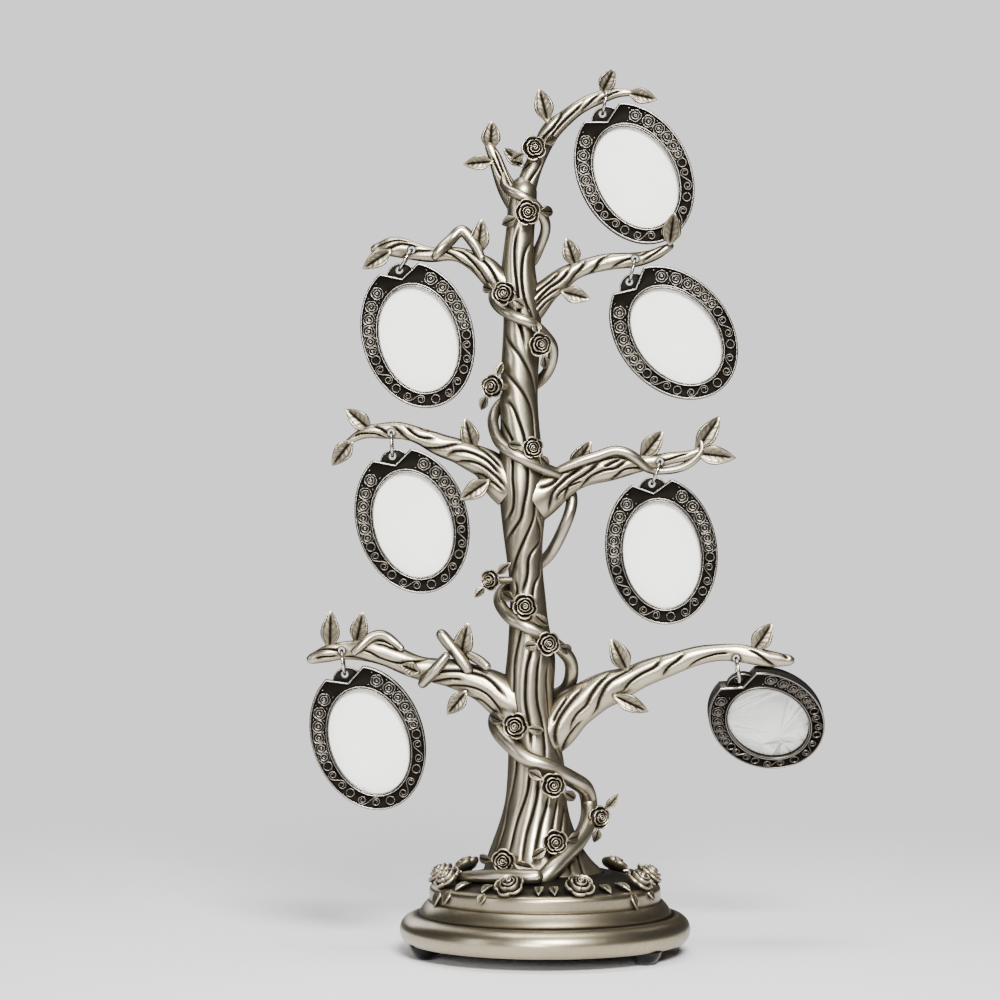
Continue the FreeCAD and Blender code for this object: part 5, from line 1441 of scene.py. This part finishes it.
def make_frames(frame_material, ring_material):
    template = make_frame_template()
    for number, hanger in enumerate(HANGERS_PX, start=1):
        matrix, centre, direction, normal = hanger_matrix(hanger)
        shell = moved_shell(template, matrix)
        shell.object(f"frame_{number}_casting", f"frame_{number}", frame_material, "frame_pewter",
                     [f"frame_{number}_bezel"])
        make_ring(number, np.array(centre), np.array(direction), np.array(normal), ring_material)


def make_ring(number, centre, direction, normal, material):
    # A jump ring of round wire, its ends meeting in a fine cut at the side.
    beside = np.cross(normal, direction)
    around = full_turn(RING_ROUND)
    cut = math.radians(RING_CUT_DEGREES)
    turns = cut + np.linspace(RING_CUT_HALF, 2.0 * math.pi - RING_CUT_HALF, RING_ALONG)
    radii = np.full(RING_ALONG, RING_WIRE_RADIUS)
    radii[[0, -1]] *= RING_CUT_SHARE
    rows = []
    for turn, radius in zip(turns, radii):
        outward = direction * math.cos(turn) + beside * math.sin(turn)
        rows.append(centre + outward * (RING_RADIUS + radius * np.cos(around))[:, None]
                    + normal * (radius * np.sin(around))[:, None])
    dirt_and_shade = np.full((RING_ALONG, 1), RING_DIRT)
    dirt_and_shade[[0, -1]] = RING_CUT_DIRT
    shell = Shell()
    shell.add_grid(np.array(rows), dirt_and_shade)
    shell.object(f"ring_{number}_wire", f"ring_{number}", material, "ring_steel", [f"ring_{number}"])


# Materials. Colours are linear; a noise's scale is per metre, and distances are metres.
BRIGHT = (0.50, 0.447, 0.335)
MID = (0.20, 0.170, 0.115)
DARK = (0.040, 0.033, 0.022)
BLACKEST = (0.005, 0.0042, 0.003)
# Pewter by how dark it is made, by dirt and by painted shade: the levels of its four colours, and for metal
# and gloss the level where each starts and ends to change, with its value there.
DIRT_AND_SHADE_LEVELS = (0.0, 0.3, 0.62, 0.95)
METAL_BY_DIRT_AND_SHADE = (0.35, 0.9, 1.0, 0.15)
GLOSS_BY_DIRT_AND_SHADE = (0.3, 0.9, 0.5, 0.05)
# Painted shade at the sides and in the corners: its powers and its strength.
SIDE_SHADE_POWER = 1.7
CORNER_SHADE = 0.95
CORNER_SHADE_POWER = 1.5
SHADE_SAMPLES = 6
PATCH_LEVEL = 0.45
SPECK_SCALE = 900.0
SPECK_SHARE = 0.4
SPECK_ROUGHNESS = 0.12
DIRT_AND_SHADE_ROUGHNESS = 0.38
STROKE_SCALE = 2600.0
STROKE_SHARE = 0.6
GRIT_SCALE = 1500.0
GRIT_ROUGHNESS = 0.6
GRAIN_STRENGTH = 0.05
GRAIN_HEIGHT = 0.0004
DULL_SHARE = 0.75
PANE_COLOUR = (0.95, 0.96, 0.96, 1.0)
PANE_TINT = (0.985, 0.988, 0.985, 1.0)
PANE_IOR = 1.35
PANE_REFLECTION = 0.22
BACKDROP = (1.24, 1.22, 1.25)
FLOOR_NEAR = 0.12
FLOOR_FAR = 0.75
FLOOR_ROUGHNESS = 0.9
FLOOR_RADIUS = 14.0
FLOOR_SIDES = 96
WORLD_LIGHT = (0.95, 0.96, 1.0)
WORLD_STRENGTH = 0.07
# Area lights: name, place and target in metres, width and height, watts, colour.
LIGHTS = (
    ("key_light", (0.2, -1.35, 0.98), (0.0, 0.0, 0.2), (0.5, 0.4), 66.0, (1.0, 0.985, 0.95)),
    ("front_light", (-0.25, -1.6, 0.4), (0.0, 0.0, 0.18), (0.3, 0.3), 16.0, (1.0, 0.985, 0.955)),
    ("fill_light", (-1.4, -0.9, 0.5), (0.0, 0.0, 0.18), (0.3, 1.0), 5.0, (0.97, 0.985, 1.0)),
    ("top_light", (0.0, -0.1, 1.6), (0.0, 0.0, 0.1), (1.0, 0.6), 20.0, (1.0, 1.0, 1.0)),
    ("back_light", (-0.6, 1.4, 0.9), (0.0, 0.0, 0.18), (1.0, 1.0), 10.0, (1.0, 1.0, 1.0)),
)


def new_material(name):
    material = bpy.data.materials.new(name)
    material.use_nodes = True
    tree = material.node_tree
    tree.nodes.clear()
    output = tree.nodes.new("ShaderNodeOutputMaterial")
    shader = tree.nodes.new("ShaderNodeBsdfPrincipled")
    tree.links.new(shader.outputs["BSDF"], output.inputs["Surface"])
    return material, tree, shader


def feed(tree, made, inputs):
    # Each input is linked to a socket or set to a value.
    for key, value in inputs.items():
        if isinstance(value, bpy.types.NodeSocket):
            tree.links.new(value, made.inputs[key])
        else:
            made.inputs[key].default_value = value


def node(tree, kind, inputs=None, **settings):
    made = tree.nodes.new(kind)
    for key, value in settings.items():
        setattr(made, key, value)
    feed(tree, made, inputs or {})
    return made


def maths(tree, operation, first, second, clamp=False):
    made = node(tree, "ShaderNodeMath", {0: first, 1: second}, operation=operation, use_clamp=clamp)
    return made.outputs[0]


def graded(tree, value, start, end, at_start, at_end, **settings):
    made = node(tree, "ShaderNodeMapRange", {
        "Value": value, "From Min": start, "From Max": end, "To Min": at_start, "To Max": at_end}, **settings)
    return made.outputs["Result"]


def mixed(tree, factor, first, second):
    # Two shaders mixed by a factor.
    mix = node(tree, "ShaderNodeMixShader", {0: factor, 1: first.outputs[0], 2: second.outputs[0]})
    return mix.outputs[0]


def ramp(tree, factor, stops):
    stops = list(stops)
    made = node(tree, "ShaderNodeValToRGB", {"Fac": factor})
    elements = made.color_ramp.elements
    while len(elements) < len(stops):
        elements.new(0.5)
    for element, (place, colour) in zip(elements, stops):
        element.position = place
        element.color = (*colour, 1.0)
    return made.outputs["Color"]


def noise(tree, coordinates, scale, detail, roughness=0.5):
    made = node(tree, "ShaderNodeTexNoise", {
        "Vector": coordinates, "Scale": scale, "Detail": detail, "Roughness": roughness})
    return made.outputs["Fac"]


def pewter(name, bright, mid=MID, dark=DARK, rough=0.3, contact=0.0045, stain=0.16,
           brush=(1.0, 1.0, 0.12), patch=90.0, lit_axes=(0.0, 1.0, 0.0), side_shade=0.85):
    # Cast metal, dark wherever the mesh marks dirt or painted shade, with painted shade at its sides, where
    # its faces turn away from the lit axes (the front and the back unless told otherwise), and painted shade
    # in its corners.
    material, tree, shader = new_material(name)
    texture = node(tree, "ShaderNodeTexCoord")
    coordinates = texture.outputs["Object"]
    # Painted shade at the sides: the less a face looks along the lit axes, the darker it is painted.
    facing = node(tree, "ShaderNodeVectorMath", {0: texture.outputs["Normal"], 1: lit_axes},
                  operation="MULTIPLY")
    facing = node(tree, "ShaderNodeVectorMath", {0: facing.outputs["Vector"]}, operation="LENGTH")
    sides = maths(tree, "SUBTRACT", 1.0, facing.outputs["Value"], clamp=True)
    sides = maths(tree, "MULTIPLY", maths(tree, "POWER", sides, SIDE_SHADE_POWER), side_shade)
    dirt_and_shade = maths(tree, "ADD", node(tree, "ShaderNodeAttribute", attribute_name="dirt_and_shade").outputs["Fac"], sides)
    # Painted shade in corners and where parts meet, from ambient occlusion over the contact distance.
    shade = node(tree, "ShaderNodeAmbientOcclusion", {"Distance": contact}, samples=SHADE_SAMPLES)
    corner = maths(tree, "POWER", maths(tree, "SUBTRACT", 1.0, shade.outputs["AO"]), CORNER_SHADE_POWER)
    corner = maths(tree, "MULTIPLY", corner, CORNER_SHADE)
    patches = maths(tree, "SUBTRACT", noise(tree, coordinates, patch, 4.0), PATCH_LEVEL)
    specks = maths(tree, "SUBTRACT", noise(tree, coordinates, SPECK_SCALE, 3.0), 0.5)
    uneven = maths(tree, "MULTIPLY", patches, stain)
    fine = maths(tree, "MULTIPLY", specks, stain * SPECK_SHARE)
    # All darkening together: dirt and stains, with the painted shade at the sides and in the corners.
    dirt_and_shade_total = maths(tree, "ADD", maths(tree, "ADD", dirt_and_shade, corner), maths(tree, "ADD", uneven, fine), clamp=True)
    satin = maths(tree, "ADD", rough, maths(tree, "MULTIPLY", dirt_and_shade_total, DIRT_AND_SHADE_ROUGHNESS))
    brushed = node(tree, "ShaderNodeMapping", {"Vector": coordinates, "Scale": brush}).outputs["Vector"]
    strokes = maths(tree, "MULTIPLY", noise(tree, brushed, STROKE_SCALE, 2.0), STROKE_SHARE)
    grit = noise(tree, coordinates, GRIT_SCALE, 3.0, GRIT_ROUGHNESS)
    bump = node(tree, "ShaderNodeBump", {
        "Strength": GRAIN_STRENGTH, "Distance": GRAIN_HEIGHT, "Height": maths(tree, "ADD", strokes, grit)})
    feed(tree, shader, {
        "Base Color": ramp(tree, dirt_and_shade_total, zip(DIRT_AND_SHADE_LEVELS, (bright, mid, dark, BLACKEST))),
        "Metallic": graded(tree, dirt_and_shade_total, *METAL_BY_DIRT_AND_SHADE),
        "Specular IOR Level": graded(tree, dirt_and_shade_total, *GLOSS_BY_DIRT_AND_SHADE),
        "Roughness": maths(tree, "ADD", satin, maths(tree, "MULTIPLY", specks, SPECK_ROUGHNESS)),
        "Normal": bump.outputs["Normal"]})
    return material


def plain(name, cloud, rough, grain, bump, stops=None, flat=False, rough_by_grain=False, **values):
    # A clouded colour, uneven roughness and a fine bump. Cloud and grain are a noise's scale and detail,
    # rough is the least roughness and its spread, bump is a strength and a height in metres, and the
    # values go to the shader's inputs of that name, with _ for a space.
    material, tree, shader = new_material(name)
    coordinates = node(tree, "ShaderNodeTexCoord").outputs["Object"]
    clouds = noise(tree, coordinates, *cloud)
    grains = noise(tree, coordinates, *grain)
    surface = node(tree, "ShaderNodeBump", {"Strength": bump[0], "Distance": bump[1], "Height": grains})
    if flat:
        # The corners of a flat sheet share normals with its thin edge, so its facets' own are used.
        facet = node(tree, "ShaderNodeNewGeometry").outputs["True Normal"]
        feed(tree, surface, {"Normal": facet})
    spread = maths(tree, "MULTIPLY", grains if rough_by_grain else clouds, rough[1])
    feed(tree, shader, {
        "Roughness": maths(tree, "ADD", rough[0], spread), "Normal": surface.outputs["Normal"],
        **{key.replace("_", " "): value for key, value in values.items()}})
    if stops:
        feed(tree, shader, {"Base Color": ramp(tree, clouds, stops)})
    return material


def plain_metal(name, colour, rough, metallic=1.0, spots=500.0):
    darker = tuple(channel * DULL_SHARE for channel in colour)
    return plain(name, (spots, 4.0), (rough, 0.15), (spots * 4.0, 3.0), (0.06, 0.0003),
                 ((0.3, darker), (0.7, colour)), Metallic=metallic)


def clear_pane():
    material = plain("clear_pane", (60.0, 3.0), (0.03, 0.05), (1500.0, 2.0), (0.01, 0.0001),
                     flat=True, Base_Color=PANE_COLOUR)
    tree = material.node_tree
    shader = tree.nodes["Principled BSDF"]
    surface = shader.inputs["Normal"].links[0].from_socket
    clear = node(tree, "ShaderNodeBsdfTransparent", {"Color": PANE_TINT})
    sheen = node(tree, "ShaderNodeFresnel", {"IOR": PANE_IOR, "Normal": surface})
    reflected = maths(tree, "MULTIPLY", sheen.outputs[0], PANE_REFLECTION)
    feed(tree, tree.nodes["Material Output"], {"Surface": mixed(tree, reflected, clear, shader)})
    return material


def pale_floor():
    # The floor fades into the backdrop far from the tree.
    material, tree, shader = new_material("pale_floor")
    coordinates = node(tree, "ShaderNodeTexCoord").outputs["Object"]
    cloud = noise(tree, coordinates, 3.0, 3.0)
    colour = ramp(tree, cloud, ((0.3, (0.80, 0.79, 0.81)), (0.7, (0.84, 0.83, 0.85))))
    feed(tree, shader, {"Base Color": colour, "Roughness": FLOOR_ROUGHNESS})
    reach = node(tree, "ShaderNodeVectorMath", {0: coordinates}, operation="LENGTH").outputs["Value"]
    far = graded(tree, reach, FLOOR_NEAR, FLOOR_FAR, 0.0, 1.0, interpolation_type="SMOOTHSTEP")
    clear = node(tree, "ShaderNodeBsdfTransparent", {"Color": (1.0, 1.0, 1.0, 1.0)})
    feed(tree, tree.nodes["Material Output"], {"Surface": mixed(tree, far, shader, clear)})
    return material


# The side shade of each metal is painted shade; the rose and low leaf metals, lit along all three axes, get
# none.
bark = pewter("bark_pewter", BRIGHT)
base_metal = pewter("base_pewter", (0.36, 0.318, 0.225), (0.16, 0.132, 0.082), stain=0.5,
                    brush=(1.0, 1.0, 1.0), patch=22.0, lit_axes=(1.0, 1.0, 0.0), side_shade=0.5)
vine_metal = pewter("vine_pewter", (0.50, 0.455, 0.355), stain=0.12)
leaf_metal = pewter("leaf_pewter", (0.42, 0.375, 0.275), (0.16, 0.137, 0.094), contact=0.003, side_shade=0.6)
rose_metal = pewter("rose_pewter", (0.56, 0.50, 0.38), rough=0.32, contact=0.0016, lit_axes=(1.0, 1.0, 1.0))
low_leaf_metal = pewter("low_leaf_pewter", (0.46, 0.41, 0.305), contact=0.002, lit_axes=(1.0, 1.0, 1.0))
frame_metal = pewter("frame_pewter", (0.29, 0.272, 0.24), (0.095, 0.087, 0.073), (0.017, 0.0155, 0.013),
                     rough=0.26, contact=0.0014, stain=0.15, side_shade=0.5)
ring_metal = pewter("ring_steel", (0.66, 0.64, 0.60), (0.4, 0.38, 0.35), rough=0.18, contact=0.0012,
                    side_shade=0.25)
bolt_metal = plain_metal("bolt_steel", (0.5, 0.5, 0.49), 0.3)
plate_metal = plain_metal("plate_metal", (0.10, 0.10, 0.10), 0.45, metallic=0.4, spots=260.0)
rubber = plain("gloss_black", (200.0, 4.0), (0.06, 0.1), (900.0, 3.0), (0.05, 0.0003),
               ((0.3, (0.003, 0.003, 0.0035)), (0.75, (0.009, 0.0085, 0.009))), Specular_IOR_Level=0.14)
velvet = plain("black_velvet", (120.0, 3.0), (0.8, 0.2), (2500.0, 4.0), (0.5, 0.0004),
               ((0.3, (0.008, 0.008, 0.010)), (0.75, (0.022, 0.021, 0.024))),
               flat=True, rough_by_grain=True, Sheen_Weight=0.35)
paper = plain("card_paper", (55.0, 3.0), (0.5, 0.2), (1800.0, 5.0), (0.12, 0.0002),
              ((0.3, (0.90, 0.90, 0.895)), (0.7, (0.94, 0.94, 0.935))), flat=True, rough_by_grain=True)
pane = clear_pane()

make_trunk(bark)
for branch_name, branch_rows in BRANCH_PX.items():
    make_branch(branch_name, branch_rows, bark)
make_base(base_metal)
make_feet(rubber)
make_leaves(leaf_metal)
vine_path, vine_path_radius = make_vines(vine_metal)
make_roses(rose_metal, leaf_metal, vine_path, vine_path_radius)
make_base_flowers(rose_metal, low_leaf_metal)
make_frames(frame_metal, ring_metal)

KEPT = {"bottom_plate": plate_metal, "trunk_bolt": bolt_metal, "bolt_washer": bolt_metal}
for number in range(1, len(HANGERS_PX) + 1):
    KEPT[f"frame_{number}_pane"] = pane
    KEPT[f"frame_{number}_card"] = paper
    KEPT[f"frame_{number}_back"] = velvet
for name, material in KEPT.items():
    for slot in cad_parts[name].material_slots:
        slot.link = "OBJECT"
        slot.material = material


# Floor, light and camera.
def make_floor():
    points = [(FLOOR_RADIUS * math.cos(t), FLOOR_RADIUS * math.sin(t), 0.0) for t in full_turn(FLOOR_SIDES)]
    mesh = bpy.data.meshes.new("studio_floor")
    mesh.from_pydata(points, [], [tuple(range(FLOOR_SIDES))])
    mesh.materials.append(pale_floor())
    floor = bpy.data.objects.new("studio_floor", mesh)
    bpy.context.scene.collection.objects.link(floor)


def area_light(name, place, target, size, power, colour):
    light = bpy.data.lights.new(name, "AREA")
    light.shape = "RECTANGLE"
    light.size, light.size_y = size
    light.energy = power
    light.color = colour
    holder = bpy.data.objects.new(name, light)
    holder.location = place
    aim = Vector(target) - Vector(place)
    holder.rotation_euler = aim.to_track_quat("-Z", "Y").to_euler()
    bpy.context.scene.collection.objects.link(holder)


def make_world():
    # The camera sees the backdrop; the part is lit by a much weaker sky.
    world = bpy.data.worlds.new("studio_world")
    bpy.context.scene.world = world
    world.use_nodes = True
    tree = world.node_tree
    tree.nodes.clear()
    seen = node(tree, "ShaderNodeBackground", {"Color": (*BACKDROP, 1.0), "Strength": 1.0})
    light = node(tree, "ShaderNodeBackground", {"Color": (*WORLD_LIGHT, 1.0), "Strength": WORLD_STRENGTH})
    is_camera = node(tree, "ShaderNodeLightPath").outputs["Is Camera Ray"]
    node(tree, "ShaderNodeOutputWorld", {"Surface": mixed(tree, is_camera, light, seen)})


make_floor()
make_world()
for light_row in LIGHTS:
    area_light(*light_row)

camera_data = bpy.data.cameras.new("photo_camera")
camera_data.lens = CAMERA_LENS
camera_data.sensor_width = CAMERA_SENSOR
camera_data.sensor_fit = "HORIZONTAL"
camera_data.clip_end = CAMERA_REACH
camera = bpy.data.objects.new("photo_camera", camera_data)
camera.location = (CAMERA_X * METRES, -CAMERA_DISTANCE * METRES, CAMERA_Z * METRES)
camera.rotation_euler = (math.pi / 2.0, 0.0, 0.0)
bpy.context.scene.collection.objects.link(camera)
bpy.context.scene.camera = camera
